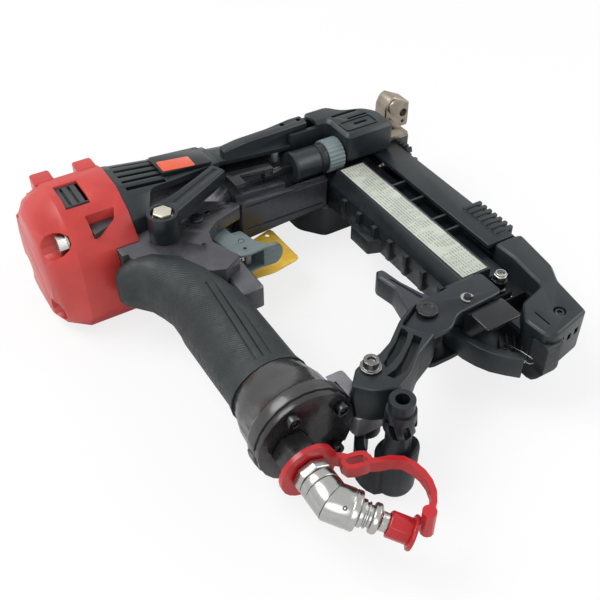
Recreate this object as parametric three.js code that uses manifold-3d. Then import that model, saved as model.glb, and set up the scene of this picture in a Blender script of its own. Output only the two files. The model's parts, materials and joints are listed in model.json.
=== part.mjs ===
// Pneumatic flooring nailer, lying on its side.
// X runs along the driver from the cylinder cap to the nose, -Y runs down the handle
// and the magazine, and Z runs up through the tool's width. Y = 0 and Z = 0 are the
// driver's axis until the finished group is set down on Z = 0 at the end of the file.
import * as THREE from 'three';
import { mergeVertices } from 'three/addons/utils/BufferGeometryUtils.js';
import Module from 'manifold-3d';

const wasm = await Module();
wasm.setup();

// Clearances and overruns that all pieces share
const gap = 0.3;
const running = 0.5;
const overrun = 3;
const fine = 0.8;
const mergeReach = 0.0001;
const roundingShare = 1.6;

// Counts
const roundSides = 24;
const smallSides = 12;
const cornerSteps = 2;

// Cylinder cap and the section that the cap and the covers behind it follow
const section = { halfHeight: 35, halfWidth: 39 };
const sectionShares = [[1, 0.18], [0.86, 0.68], [0.55, 0.93], [0.3, 1]];
const capShares = [
  [1, -0.2], [1, 0.2], [0.86, 0.68], [0.55, 0.93], [0.3, 1],
  [-0.3, 1], [-0.74, 0.8], [-1.06, 0.46], [-1.15, 0.28],
  [-1.15, -0.6], [-1, -0.86], [-0.68, -1], [0.3, -1], [0.55, -0.93], [0.86, -0.68],
];
const cap = {
  end: -114, bevelEnd: -109.6, shoulder: -98, rim: -62,
  handleRim: -76, rimNear: -15, endShift: 4, bevelShift: 2,
  boreRadius: 24.8, boreEnd: -104, lugFrom: 17, lugTop: 37.4,
  lugDepth: 9, lugLength: 12, lugWidth: 11.6, accent: 3,
};
const capEndShares = { face: 0.72, bevel: 0.86 };
const louvre = {
  from: -93.6, length: 14, near: -15, width: 21.5, slats: 3, rise: 1.2, floor: 4, slatDepth: 2.4
};
const vent = { depth: 7, z: 31 };
const ventSpan = { x: -86, y: -33, width: 17.6, height: 11.6 };
const ventShares = [[0, 1], [1, 1], [0.84, 0.5], [0.04, 0]];
const capBolt = {
  y: 24, z: 22, recess: 7.4, seat: -98.5, head: 5, headHeight: 5, washer: 6.2, washerHeight: 1.2, shank: 2.6,
};

// Housing: barrel, web between barrel and handle, ears round the trigger, handle core
const barrel = { radius: 24.4, bore: 21, rear: -78, wallFrom: -2, hole: 5 };
const web = {
  half: 16.8, slotHalf: 8.2, slotX: -30, slotTop: -27.4, rearLeft: -69, rearBottom: -45, coreTop: -30
};
const webReach = { x: -72, y: -12, width: 76, height: 76 };
const webShares = [
  [0, 0], [0, -0.5], [0.16, -0.66], [0.44, -0.92], [0.54, -0.96], [0.7, -0.87], [0.6, -0.62],
  [0.63, -0.5], [0.74, -0.41], [0.98, -0.34], [1, -0.3], [0.96, -0.25], [0.74, -0.1], [0.7, 0],
];
const housingPin = { radius: 1.3, depth: 1.2 };
const housingPinShares = [[0.93, -0.235], [0.53, -0.62], [0.52, -0.34]];
const handle = {
  x: -47.5, neckDepth: 13.6, halfDepth: 18, halfThick: 16.6,
  wall: 3.4, top: -60, neckEnd: -104, seam: -162, rubber: 3.2,
  bulgeY: -122, bulge: 1.2,
};

// Cylinder, piston, driver and head valve inside
const sleeve = { radius: 20.6, bore: 18.2, rear: -82 };
const bumper = { radius: 17.8, hole: 4.6, length: 12, crown: 0.9 };
const piston = { radius: 17.8, length: 10, rear: -80, groove: 1.2, bladeHeight: 3, bladeWidth: 7, tip: 88 };
const headValve = { outer: 24.4, inner: 15, length: 12, lip: 2 };

// Exhaust cover with its slots, blank plate and blank label
const exhaust = {
  front: 5, mid: -28, wall: 4, slots: 6, slotWidth: 2.4,
  slotFrom: -57, slotTo: -32, slotTurn: 9.5, slotStart: 62,
  near: -15, rise: 7, openFrom: -43, tongue: -52, tongueTip: -31,
};
const exhaustShares = { rear: 0.965, mid: 0.86, front: 0.8 };
const plate = { length: 33, width: 22, thick: 9, y: 1.5, rise: 2.66, tilt: -4, fall: 4.9, corner: 2 };

// Belt hook
const hook = {
  x: -47.5, y: -41.2, boss: 9, bottom: 17.2, top: 34, armBottom: 24.6, length: 54, turn: 27, rootWidth: 13.4,
  tipWidth: 10.6, recess: 6.9, recessDepth: 3.4, tipRound: 2, bevel: 0.9, groove: 1.4, grooveDepth: 0.8,
};
const hookBolt = { across: 5, height: 4, shank: 3, tip: 6, washer: 6.4 };

// Drive guide, the cover over it and the moulded arm along it
const guide = {
  from: 5.4, to: 70, near: -32, far: 12, rearTop: 17, frontTop: 12, rearBottom: -16, frontBottom: -11.5,
  rail: 4, channel: 4.2, corner: 1.6, groove: 1.4, grooveDepth: 0.9, step: 3.4, stepWidth: 4.6,
};
const guideCover = { wall: 3, near: -6 };
const guideCoverShares = { rear: 0.76, front: 0.63 };
const arm = { to: 72, bottom: 22, shelf: 31.4, top: 35.6, hole: 1.7, holeY: 3, holes: [56, 68], bevel: 1 };
const armSpan = { x: 10, y: -8, width: 62, height: 16 };
const armShares = [
  [0, 0.12], [0.26, 0.31], [0.6, 0.34], [1, 0.38], [1, 0.97],
  [0.85, 0.97], [0.55, 0.8], [0.2, 0.75], [0, 0.6]
];
const sideBolt = { radius: 4.4, crown: 3, height: 4, x: 50.4, z: 3 };

// Nose: cover, steel body, contact shoe, contact arm and depth dial
const noseSpan = { x: 57, y: -30, width: 63, height: 40 };
const noseCover = {
  from: noseSpan.x, to: noseSpan.x + noseSpan.width, near: noseSpan.y, far: noseSpan.y + noseSpan.height,
  top: 35, bottom: -39, shelf: 31, shelfTo: 77, wall: 3, farWall: 3.4, bevel: 2.2, farTo: 92,
};
const noseShares = [
  [0, 0.62], [0, 1], [0.57, 1], [0.68, 0.78], [0.89, 0.67],
  [1, 0.45], [1, 0], [0.44, 0], [0.44, 0.56], [0.4, 0.62],
];
const noseLowerShares = [
  [0, 0.4], [0, 1], [0.57, 1], [0.68, 0.78], [0.89, 0.67], [1, 0.45], [1, 0], [0.2, 0]
];
const noseSlot = { width: 2.4, depth: 1.4 };
const noseSlotShares = [[0.5, 0.6, 0.3], [0.62, 0.42, 0.24], [0.62, 0.24, 0.16]];
const noseBody = {
  to: 147, near: -13.1, far: noseCover.far - noseCover.farWall,
  half: 11.2, slotHalf: 4, tipHalf: 8.4, taper: 7,
  slotHeight: 2.2,
};
const shoe = {
  rear: 134, front: 155, near: -2, far: 10.5, bridge: 4, hole: 3,
  holeX: 149, holeZ: 19, smallHole: 1.3, smallHoleZ: 12.6,
  drum: 5.4, drumX: 141.6, drumZ: 25.6, drumRise: 1.6, legThick: 3.2, legRear: 108.6, legHalf: 3.5,
};
const shoeSpan = { x: 134, y: 0, width: 21, height: 33 };
const shoeShares = [[0, 0.78], [0.14, 0.95], [0.3, 1], [0.95, 0.79], [0.95, 0.3], [0.78, 0.1]];
const contactTravel = 8;
const dial = {
  y: -19, z: 18, from: 49, flange: 2.4, flangeRadius: 10,
  radius: 9.5, ringFrom: 73, groove: 67, grooveDepth: 0.8,
  grooveWidth: 1.2, core: 6, ringRadius: 10.8, ringTo: 84, teeth: 24, tooth: 0.7,
};
const rod = { radius: 2.9 };
const contactArm = {
  from: 6, to: 35, bottom: 22, thick: 2.4, rearFar: -11.5, rearNear: -17.5, frontFar: -15.5, frontNear: -22.5,
  legX: 13, legNear: -27.5,
};
const rodStart = contactArm.to - 2 * rod.radius;

// Trigger, its pins, inner lever, the valve and the blank tag
const trigger = {
  pivotX: -16.4, pivotY: -32.6, eye: 4, half: 7.5, inner: 5.7, bevel: 0.6, smallHole: 1.1, holeDrop: 7.6,
};
const triggerSpan = { x: -22.5, y: -69.6, width: 37.1, height: 41.6 };
const triggerShares = [
  [0, 0.71], [0.05, 0.53], [0.146, 0.21], [0.237, 0.024],
  [0.38, 0], [0.606, 0.02], [0.836, 0.005], [1, 0.024],
  [0.99, 0.067], [0.836, 0.07], [0.698, 0.12], [0.615, 0.25], [0.582, 0.375], [0.558, 0.5], [0.523, 0.543],
  [0.383, 0.55], [0.345, 0.86], [0.283, 0.99], [0.067, 0.99],
];
const triggerSlotShares = [
  [-0.4, 1.3], [0.29, 1.3], [0.3, 0.84], [0.33, 0.6], [0.49, 0.5], [0.525, 0.37], [0.56, 0.24], [0.64, 0.11],
  [0.66, -0.2], [-0.4, -0.2],
];
const triggerTipShares = [[0.8, 1], [0.9, 0.86], [0.96, 0.56], [1, 0.2]];
const triggerPin = { radius: 1.6 };
const triggerLever = {
  x: -6.7, y: -56.1, radius: 1.6, half: 4, bottom: -65.6, left: -9.2, right: -5, top: -53.4
};
const valve = {
  from: -29.2, to: -15, top: -71.6, bottom: -99, half: 7.9,
  bevel: 1.2, seat: -22, seatTop: -55.6, bushRadius: 5,
  bushLength: 3,
};
const stem = { y: -62, radius: 2.2, from: -24.4, to: -9.6, head: 3.1, headLength: 1.6, travel: 3.7 };
const tag = { thick: 0.8, hole: 3 };
const tagSpan = { x: -12, y: -66, width: 42, height: 40 };
const tagShares = [[0, 0.05], [0.06, 0.7], [0.98, 0.98], [1, 0.1], [0.52, 0]];

// Handle end: casting, end plate, inlet and swivel
const gripRoot = { x: -83, y: -44.6, width: 56, height: 60, half: 20.4, round: 5 };
const gripRootShares = [
  [0, 0], [0.12, 0.02], [0.36, 0], [0.5, -0.05], [0.62, -0.22],
  [0.74, -0.44], [0.9, -0.74], [0.98, -1], [0.02, -1], [0, -0.3],
];
const gripRootRings = [
  { x: -83, y: -51, turn: 8, wide: 5, thick: 9 }, { x: -80, y: -51, turn: 8, wide: 7.4, thick: 13 },
  { x: -73, y: -52, turn: 16, wide: 10, thick: 17 }, { x: -64, y: -56.5, turn: 34, wide: 13.5, thick: 19 },
  { x: -56, y: -66, turn: 55, wide: 17, thick: 19.8 }, { x: -50, y: -80, turn: 74, wide: 18.4, thick: 20 },
  { x: -47.5, y: -99, turn: 90, wide: 20.4, thick: 20 },
  { x: -47.5, y: -104.6, turn: 90, wide: 21.2, thick: 20 },
];
const gripGroove = { lines: 3, pitch: 4.2, width: 1, depth: 0.9, top: -92, bottom: -156, lean: -5 };
const gripEnd = {
  flangeTop: -184, flange: -187, face: -193, flangeRadius: 27.5, neckRadius: 25, seal: 1.2, sealLength: 2.6,
};
const endPlate = {
  thick: 3.6, radius: 26.6, dish: 12, dishDepth: 2,
  screwCircle: 21.5, screwHead: 3.6, screwHeight: 4.4, socket: 1.8,
  socketDepth: 2, screws: 3, screwTurn: -45, screwStep: 80,
};
const inlet = { x: -57, hex: 9.2, hexLength: 14.4, bore: 4, neck: 8, tail: 7 };
const strap = { ring: 15, band: 2.6, thick: 3, half: 3.4, tab: 12, tabRadius: 3.4 };
const swivel = {
  radius: 9.2, nutTo: -226, mitre: -233.6, flats: 8,
  bodyRadius: 9.6, bodyLength: 12.4, mitreAngle: 22.5, roll: -20,
  boreRadius: 4, seam: 1,
};
const plug = { collar: 7, length: 15.4, bore: 2.4 };
const plugShares = [
  [0, 0.86], [0.2, 0.86], [0.24, 0.7], [0.42, 0.7], [0.46, 1], [0.68, 1], [0.74, 0.62], [1, 0.6]
];
const dustCap = {
  from: 26.4, length: 12.6, radius: 6, inside: 4.7, flange: 8.4, flangeLength: 2.2, wall: 1.3
};
const strapPoints = [
  [-44.6, -213.2], [-38.6, -218.4], [-31.3, -225.8], [-18.8, -231],
  [-14.6, -239.5], [-15, -250], [-19.4, -258], [-24.6, -261.6],
];
const eyelet = { x: -36.4, y: -220.6, outer: 4.6, inner: 2.2, slot: 2.6 };

// Link between handle end and magazine, with the hanger and its barrel
const mount = {
  left: -28, right: 1, top: -178, bottom: -199, base: -17,
  height: 13.4, lugRight: -16, lugBottom: -190, corner: 4,
};
const link = {
  bottom: -2.6, top: 20, pocket: 5, boltX: -7.5, boltY: -190,
  upperX: 41.8, upperY: -170.3, bevel: 0.8, eye: 3.3,
  forkReach: 15,
};
const linkSpan = { x: -22, y: -160, width: 70, height: 50 };
const linkShares = [
  [0.94, -0.06], [0.8, -0.1], [0.657, -0.2], [0.471, -0.4],
  [0.343, -0.48], [0.186, -0.5], [0.114, -0.53], [0, -0.7],
  [0.1, -0.85], [0.271, -0.96], [0.429, -0.86], [0.586, -0.68], [0.771, -0.56], [0.914, -0.42], [1, -0.24],
];
const pocketShares = [
  [[0.62, -0.3], [0.5, -0.44], [0.38, -0.54], [0.34, -0.62], [0.44, -0.58], [0.56, -0.48], [0.64, -0.36]],
  [[0.66, -0.44], [0.52, -0.6], [0.42, -0.7], [0.38, -0.8], [0.46, -0.76], [0.58, -0.62], [0.68, -0.54]],
];
const linkBolt = { head: 4, headHeight: 4.2, washer: 5.6, washerHeight: 1.2, shank: 3, socket: 2 };
const upperBolt = { head: 5.8, headHeight: 2, shank: 3, ring: 3.6, depth: 0.8 };
const hanger = { bottom: -39, top: -18, thick: 5, eyeRadius: 7.4, bore: 3.3, flange: 3, low: -25 };
const hangerPoints = [[-7.5, -190], [-16, -196], [-21.5, -206], [-19, -217], [-8.6, -217]];
const stand = {
  x: -8.6, y: -217, radius: 7.5, bore: 3.6, top: 24,
  neckTop: 17, neckRadius: 6.4, shoulder: 8.2, shoulderTop: 5,
  shoulderBottom: -12, waist: 6.6, slot: 3, foot: 9, footTop: -33,
};

// Magazine: body, cover that slides, pusher, label
const magazine = {
  front: -13.4, visible: -31, rear: -157, left: 72, sideLeft: 71,
  shoulder: 6, ridge: 76.4, ridgeRight: 96.6, band: 108,
  bottom: -13, top: 14, bandTop: 7, step: -3, bandRib: 12.6,
  ribWidth: 1.6, cavityLeft: 80, cavityRight: 106.6,
  cavityBottom: -6, cavityTop: 4.6, bumpReach: 7.6, bumpFrom: -63,
  bumpTo: -88, bumpTop: -3, notchWidth: 3, frontTop: 6.6,
};
const sideRibs = { from: -49, to: -146, count: 7, width: 3.4, reach: 2.6, top: 5, bottom: -9 };
const bandRibs = [-62.6, -81.6, -103.6, -116.4];
const magazineCover = {
  gap: 0.5, right: 130, wall: 3, chamfer: 3, rear: -140.7,
  toothReach: 3.6, toothFrom: -18, teeth: 4, toothPitch: 6.6,
  toothHeight: 22, gripFrom: -105.5, grips: 7, gripPitch: 4.6, gripWidth: 2.6, gripRise: 1.4, gripReach: 12,
};
const pusher = { front: -16, length: 14, relief: 4, reliefDepth: 2 };
const springRoll = { radius: 4.2, hole: 1.8, width: 8 };

// Rear of the magazine: bracket, clip, nut, panel, lever, end block, guard and foot
const bracket = {
  top: 17.4, thick: 3, bottom: -16.6, spineLeft: 64, spineRight: 83, spineRear: -176, corner: 3, bevel: 0.7,
  pinX: 66, pinY: -173, pin: 1.9, pinRise: 2.4,
};
const bracketSpan = { x: 23, y: -159.4, width: 63.4, height: 28 };
const bracketShares = [
  [0.36, -0.06], [1, 0], [1, -0.66], [0.5, -0.72], [0.36, -0.96], [0.14, -0.98], [0, -0.5]
];
const lowerShares = [[0.4, -0.06], [1, 0], [1, -0.66], [0.5, -0.72], [0.28, -0.72], [0.2, -0.4]];
const stud = { x: 97.6, y: -164, nut: 4, nutHeight: 4, collar: 5.6, collarHeight: 8, shank: 2.6, base: 3 };
const panel = {
  left: 62.4, right: 85.6, top: -178.6, bottom: -195, thick: 1.6, corner: 2, bevel: 0.5, hook: 5
};
const lever = { bottom: -5.6, top: 9.4, bevel: 1.4, eyeRadius: 7, groove: 1.2 };
const leverSpan = { x: 38, y: -121, width: 21, height: 58 };
const leverShares = [
  [0.18, -0.08], [0.3, 0], [0.5, -0.02], [0.6, -0.24], [0.84, -0.5],
  [1, -0.6], [0.6, -0.92], [0.1, -0.96], [-0.1, -0.8],
  [0.14, -0.55], [0.3, -0.3],
];
const leverGrooveShares = [[0.36, -0.16], [0.44, -0.2], [0.72, -0.56], [0.6, -0.56]];
const endBlock = {
  bevel: 1.4, screwX: 104.4, screwY: -203, recess: 3.6, recessDepth: 3, slotWidth: 1, slotDepth: 1.2,
  slitX: 92, slitTop: -197, slitBottom: -208,
};
const skirtSpan = { left: 86, right: 113, bottom: -204, top: -171, height: 2 };
const blockSpan = { x: 84, y: -141, width: 48, height: 75 };
const blockShares = [
  [0.6, 0], [0.88, 0], [1, -0.02], [0.91, -0.42], [0.78, -0.57],
  [0.69, -0.92], [0.15, -1], [0.03, -0.96], [0, -0.77],
  [0.18, -0.62], [0.56, -0.55], [0.58, -0.4], [0.62, -0.2],
];
const guard = { thick: 5, bottom: -13, top: 1 };
const guardPoints = [[58.6, -169], [59.6, -184], [65.4, -198.6], [76.4, -210.6]];
const foot = {
  left: 77.2, right: 101.4, top: -205.6, bottom: -217.4, low: -13.4, high: 7, corner: 4, bevel: 1.2
};

const material = (color, roughness, metalness) => new THREE.MeshStandardMaterial(
  { color, roughness, metalness }
);
const finishes = {
  red: material(0xc9463f, 0.42, 0), blackPlastic: material(0x34383a, 0.55, 0),
  glossBlack: material(0x1d1f21, 0.25, 0.2),
  gunmetal: material(0x5b5a5f, 0.45, 0.55),
  darkMetal: material(0x3c3d40, 0.5, 0.5), rubber: material(0x2c3032, 0.85, 0),
  triggerGrey: material(0x6c7a7a, 0.45, 0.2),
  lightGrey: material(0x9a9aa0, 0.5, 0.3), knurl: material(0x7f9090, 0.55, 0.1),
  steel: material(0xb4b4b0, 0.3, 0.9),
  chrome: material(0xd8dad6, 0.15, 1), tan: material(0xa99c8c, 0.55, 0.6),
  cream: material(0xcfcab8, 0.4, 0.4), yellow: material(0xe0bd36, 0.6, 0),
  ventGrey: material(0x4c5052, 0.6, 0), springSteel: material(0x8f8f8c, 0.3, 0.9),
};

const group = new THREE.Group();

// Names a finished solid, checks nothing, and puts it in the group
function piece(name, solid, finish) {
  const mesh = new THREE.Mesh(solid.isBufferGeometry ? solid : geometryOf(solid), finishes[finish]);
  mesh.name = name;
  group.add(mesh);
  return mesh;
}

// Turns a closed geometry into a solid that can be joined and cut
function solidOf(geometry) {
  const bare = geometry.clone();
  bare.deleteAttribute('normal');
  bare.deleteAttribute('uv');
  const merged = facingOut(mergeVertices(bare, mergeReach));
  return new wasm.Manifold(new wasm.Mesh({
    numProp: 3,
    vertProperties: new Float32Array(merged.attributes.position.array),
    triVerts: new Uint32Array(merged.index.array),
  }));
}

// Gives a solid's vertices and triangles back as a geometry
function geometryOf(solid) {
  const mesh = solid.getMesh();
  const geometry = new THREE.BufferGeometry();
  geometry.setAttribute('position', new THREE.BufferAttribute(new Float32Array(mesh.vertProperties), 3));
  geometry.setIndex(new THREE.BufferAttribute(new Uint32Array(mesh.triVerts), 1));
  geometry.computeVertexNormals();
  return geometry;
}

const join = (first, ...rest) => rest.reduce((whole, next) => whole.add(next), first);
const cut = (first, ...tools) => tools.reduce((whole, tool) => whole.subtract(tool), first);

// A block between two corners
function block(x0, x1, y0, y1, z0, z1) {
  const geometry = new THREE.BoxGeometry(x1 - x0, y1 - y0, z1 - z0);
  geometry.translate((x0 + x1) / 2, (y0 + y1) / 2, (z0 + z1) / 2);
  return solidOf(geometry);
}

// A closed outline whose corners are rounded by one radius
function rounded(points, radius = 0) {
  const shape = new THREE.Shape();
  const count = points.length;
  points.forEach((point, index) => {
    const here = new THREE.Vector2(...point);
    const before = new THREE.Vector2(...points[(index + count - 1) % count]);
    const after = new THREE.Vector2(...points[(index + 1) % count]);
    const reach = Math.min(radius, here.distanceTo(before) / 2.1, here.distanceTo(after) / 2.1);
    const start = here.clone().add(before.sub(here).setLength(reach));
    const end = here.clone().add(after.sub(here).setLength(reach));
    if (index === 0) shape.moveTo(start.x, start.y);
    else shape.lineTo(start.x, start.y);
    if (radius > 0) shape.quadraticCurveTo(here.x, here.y, end.x, end.y);
  });
  shape.closePath();
  return shape;
}

const spread = (shares, span) => shares.map(([u, v]) => [span.x + u * span.width, span.y + v * span.height]);

// Moves a closed outline's edges outwards by `reach`, inwards where it is negative
function grown(points, reach) {
  const count = points.length;
  const area = points.reduce((sum, [x, y], index) => {
    const [nextX, nextY] = points[(index + 1) % count];
    return sum + x * nextY - nextX * y;
  }, 0);
  const outward = (
    [x0, y0], [x1, y1]
  ) => new THREE.Vector2(y1 - y0, x0 - x1).normalize().multiplyScalar(Math.sign(area));
  return points.map((point, index) => {
    const first = outward(points[(index + count - 1) % count], point);
    const second = outward(point, points[(index + 1) % count]);
    const move = first.clone().add(second).multiplyScalar(reach / Math.max(1 + first.dot(second), 1 / 2));
    return [point[0] + move.x, point[1] + move.y];
  });
}
const rectangle = (x0, x1, y0, y1) => [[x0, y0], [x1, y0], [x1, y1], [x0, y1]];

function ring(radius, sides, x = 0, y = 0) {
  const shape = new THREE.Shape();
  shape.setFromPoints(Array.from({ length: sides }, (_, step) => {
    const angle = (step / sides) * Math.PI * 2;
    return new THREE.Vector2(x + radius * Math.cos(angle), y + radius * Math.sin(angle));
  }));
  return shape;
}

function extruded(shape, length, bevel) {
  return new THREE.ExtrudeGeometry(shape, {
    depth: length - 2 * bevel, curveSegments: cornerSteps, bevelEnabled: bevel > 0, bevelThickness: bevel,
    bevelSize: bevel, bevelOffset: -bevel, bevelSegments: 1,
  }).translate(0, 0, bevel);
}

// Slabs extruded along Z, X and Y; the outline is in XY, YZ or XZ
const slab = (shape, from, to, bevel = 0) => solidOf(extruded(shape, to - from, bevel).translate(0, 0, from));
function slabX(shape, from, to, bevel = 0) {
  const basis = new THREE.Matrix4().makeBasis(axisY, axisZ, axisX);
  return solidOf(extruded(shape, to - from, bevel).applyMatrix4(basis).translate(from, 0, 0));
}
function slabY(shape, from, to, bevel = 0) {
  const basis = new THREE.Matrix4().makeBasis(axisX, axisZ, axisY.clone().negate());
  return solidOf(extruded(shape, to - from, bevel).applyMatrix4(basis).translate(0, to, 0));
}

const axisX = new THREE.Vector3(1, 0, 0);
const axisY = new THREE.Vector3(0, 1, 0);
const axisZ = new THREE.Vector3(0, 0, 1);

// A turned piece: its profile is [distance along the axis, radius] and closes on the axis
function turned(profile, direction, origin, sides = roundSides) {
  const points = profile.map(([along, radius]) => new THREE.Vector2(radius, along));
  const geometry = new THREE.LatheGeometry(points, sides);
  const turn = new THREE.Quaternion().setFromUnitVectors(axisY, direction.clone().normalize());
  return solidOf(geometry.applyQuaternion(turn).translate(...origin));
}
const rodAlong = (direction, origin, from, to, radius, sides) =>
  turned([[from, 0], [from, radius], [to, radius], [to, 0]], direction, origin, sides);
const pinX = (x0, x1, y, z, radius, sides) => rodAlong(axisX, [0, y, z], x0, x1, radius, sides);
const pinY = (y0, y1, x, z, radius, sides) => rodAlong(axisY, [x, 0, z], y0, y1, radius, sides);
const pinZ = (z0, z1, x, y, radius, sides) => rodAlong(axisZ, [x, y, 0], z0, z1, radius, sides);

// A hexagon whose flats are `apothem` from its centre
function hexagon(apothem, x, y) {
  return ring(apothem / Math.cos(Math.PI / 6), 6, x, y);
}

// A closed body through rings of equal counts, capped at both ends
function loft(rings) {
  const count = rings[0].length;
  const vertices = rings.flat();
  const faces = [];
  for (let level = 0; level < rings.length - 1; level += 1) {
    for (let step = 0; step < count; step += 1) {
      const a = level * count + step;
      const b = level * count + ((step + 1) % count);
      faces.push(a, b, b + count, a, b + count, a + count);
    }
  }
  [[0, true], [rings.length - 1, false]].forEach(([level, flip]) => {
    const centre = rings[level].reduce(
      (sum, point) => sum.add(point), new THREE.Vector3()
    ).divideScalar(count);
    vertices.push(centre);
    for (let step = 0; step < count; step += 1) {
      const a = level * count + step;
      const b = level * count + ((step + 1) % count);
      faces.push(...(flip ? [vertices.length - 1, b, a] : [vertices.length - 1, a, b]));
    }
  });
  const geometry = new THREE.BufferGeometry();
  geometry.setAttribute(
    'position', new THREE.Float32BufferAttribute(vertices.flatMap((point) => point.toArray()), 3)
  );
  geometry.setIndex(faces);
  return solidOf(geometry);
}

// Turns a closed geometry's faces outwards
function facingOut(geometry) {
  const index = geometry.index.array;
  const position = geometry.attributes.position;
  const [a, b, c] = [new THREE.Vector3(), new THREE.Vector3(), new THREE.Vector3()];
  let volume = 0;
  for (let face = 0; face < index.length; face += 3) {
    a.fromBufferAttribute(position, index[face]);
    b.fromBufferAttribute(position, index[face + 1]);
    c.fromBufferAttribute(position, index[face + 2]);
    volume += a.dot(b.cross(c));
  }
  if (volume < 0) geometry.setIndex(Array.from(index).reverse());
  return geometry;
}

// The ring that the cap and the covers behind it follow, at one place along the driver
function sectionRing(x, share) {
  const quarter = sectionShares.map(
    ([u, v]) => [u * section.halfHeight * share, v * section.halfWidth * share]
  );
  const half = [...quarter, ...quarter.slice().reverse().map(([y, z]) => [-y, z])];
  const whole = [...half, ...half.slice().reverse().map(([y, z]) => [y, -z])];
  return whole.map(([y, z]) => new THREE.Vector3(x, y, z));
}

// An oval ring across the handle
function ovalRing(y, x, halfX, halfZ, sides = roundSides) {
  return Array.from({ length: sides }, (_, step) => {
    const angle = (step / sides) * Math.PI * 2;
    return new THREE.Vector3(x + halfX * Math.cos(angle), y, halfZ * Math.sin(angle));
  });
}

// A flat band of one width that follows points in XY
function bandShape(points, width, steps) {
  const curve = new THREE.CatmullRomCurve3(
    points.map(([x, y]) => new THREE.Vector3(x, y, 0)), false, 'centripetal'
  );
  const sides = [[], []];
  for (let step = 0; step <= steps; step += 1) {
    const at = curve.getPointAt(step / steps);
    const along = curve.getTangentAt(step / steps);
    const across = new THREE.Vector2(-along.y, along.x).setLength(width / 2);
    sides[0].push(new THREE.Vector2(at.x + across.x, at.y + across.y));
    sides[1].unshift(new THREE.Vector2(at.x - across.x, at.y - across.y));
  }
  return new THREE.Shape([...sides[0], ...sides[1]]);
}

const centreRing = (y, x, radius, sides) => ovalRing(y, x, radius, radius, sides);
const both = (maker) => [1, -1].map(maker);
const mirrorZ = (solid) => solid.mirror([0, 0, 1]);

// Cap: a faceted loft with a bore open to the housing, bolt recesses, louvre and slots
function cylinderCap() {
  const outer = loft([
    capRing(cap.end, capEndShares.face, cap.endShift),
    capRing(cap.bevelEnd, capEndShares.bevel, cap.bevelShift),
    capRing(cap.shoulder, 1, 0), capRing(cap.rim, 1, 0),
  ]);
  const bore = pinX(cap.boreEnd, cap.rim + overrun, 0, 0, cap.boreRadius);
  const notch = block(
    cap.handleRim, cap.rim + overrun, -2 * section.halfHeight, cap.rimNear, -web.half - gap, web.half + gap,
  );
  const recesses = boltPlaces().flatMap(([y, z]) => [
    pinX(cap.end - overrun, capBolt.seat, y, z, capBolt.recess, smallSides),
    pinX(capBolt.seat - overrun, cap.rim + overrun, y, z, capBolt.shank + gap, smallSides),
  ]);
  const slot = slab(
    rounded(spread(ventShares, ventSpan), fine), vent.z - vent.depth, section.halfWidth + overrun
  );
  const window = block(
    louvre.from, louvre.from + louvre.length, louvre.near, louvre.near + louvre.width,
    section.halfWidth - louvre.floor, section.halfWidth + overrun,
  );
  const pads = [cap.shoulder - cap.accent, cap.rim - cap.lugLength - fine].flatMap((x) => both((side) => slab(
    rounded(rectangle(x, x + cap.lugLength, cap.lugFrom, cap.lugFrom + cap.lugWidth), 2 * fine),
    side > 0 ? cap.lugTop - cap.lugDepth : -cap.lugTop,
    side > 0 ? cap.lugTop : cap.lugDepth - cap.lugTop, fine,
  )));
  return cut(join(outer, ...pads), bore, notch, slot, window, ...recesses);
}

// The cap's own ring at one place along the driver, moved to the far and lower side
function capRing(x, share, shift) {
  return capShares.map(([u, v]) => new THREE.Vector3(
    x, u * section.halfHeight * share + shift, v * section.halfWidth * share - shift,
  ));
}

const boltPlaces = () => [[1, 1], [1, -1], [-1, 1], [-1, -1]].map(([u, v]) => [u * capBolt.y, v * capBolt.z]);

function capBoltSolid(y, z) {
  const washer = pinX(
    capBolt.seat - gap - capBolt.washerHeight, capBolt.seat - gap, y, z, capBolt.washer, smallSides
  );
  const head = slabX(
    hexagon(capBolt.head, y, z), capBolt.seat - gap - capBolt.headHeight - capBolt.washerHeight,
    capBolt.seat - gap - capBolt.washerHeight,
  );
  const shank = pinX(capBolt.seat - capBolt.washerHeight, cap.rim - gap, y, z, capBolt.shank, smallSides);
  return join(washer, head, shank);
}

// Louvre: a frame with slanted slats that drops into the cap's window
function exhaustLouvre() {
  const floor = section.halfWidth - louvre.floor + gap;
  const frame = block(
    louvre.from + gap, louvre.from + louvre.length - gap, louvre.near + gap, louvre.near + louvre.width - gap,
    floor, section.halfWidth - louvre.rise,
  );
  const pitch = louvre.length / louvre.slats;
  const grooves = Array.from({ length: louvre.slats }, (_, index) => {
    const left = louvre.from + pitch * (index + running / 2);
    const outline = rounded([
      [left, section.halfWidth + overrun], [left + pitch / 2, section.halfWidth + overrun],
      [left + pitch * (1 - running / 2), section.halfWidth - louvre.rise - louvre.slatDepth],
      [left + pitch / 2, section.halfWidth - louvre.rise - louvre.slatDepth],
    ]);
    return slabY(outline, louvre.near + louvre.rise + gap, louvre.near + louvre.width - louvre.rise - gap);
  });
  return cut(frame, ...grooves);
}

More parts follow.
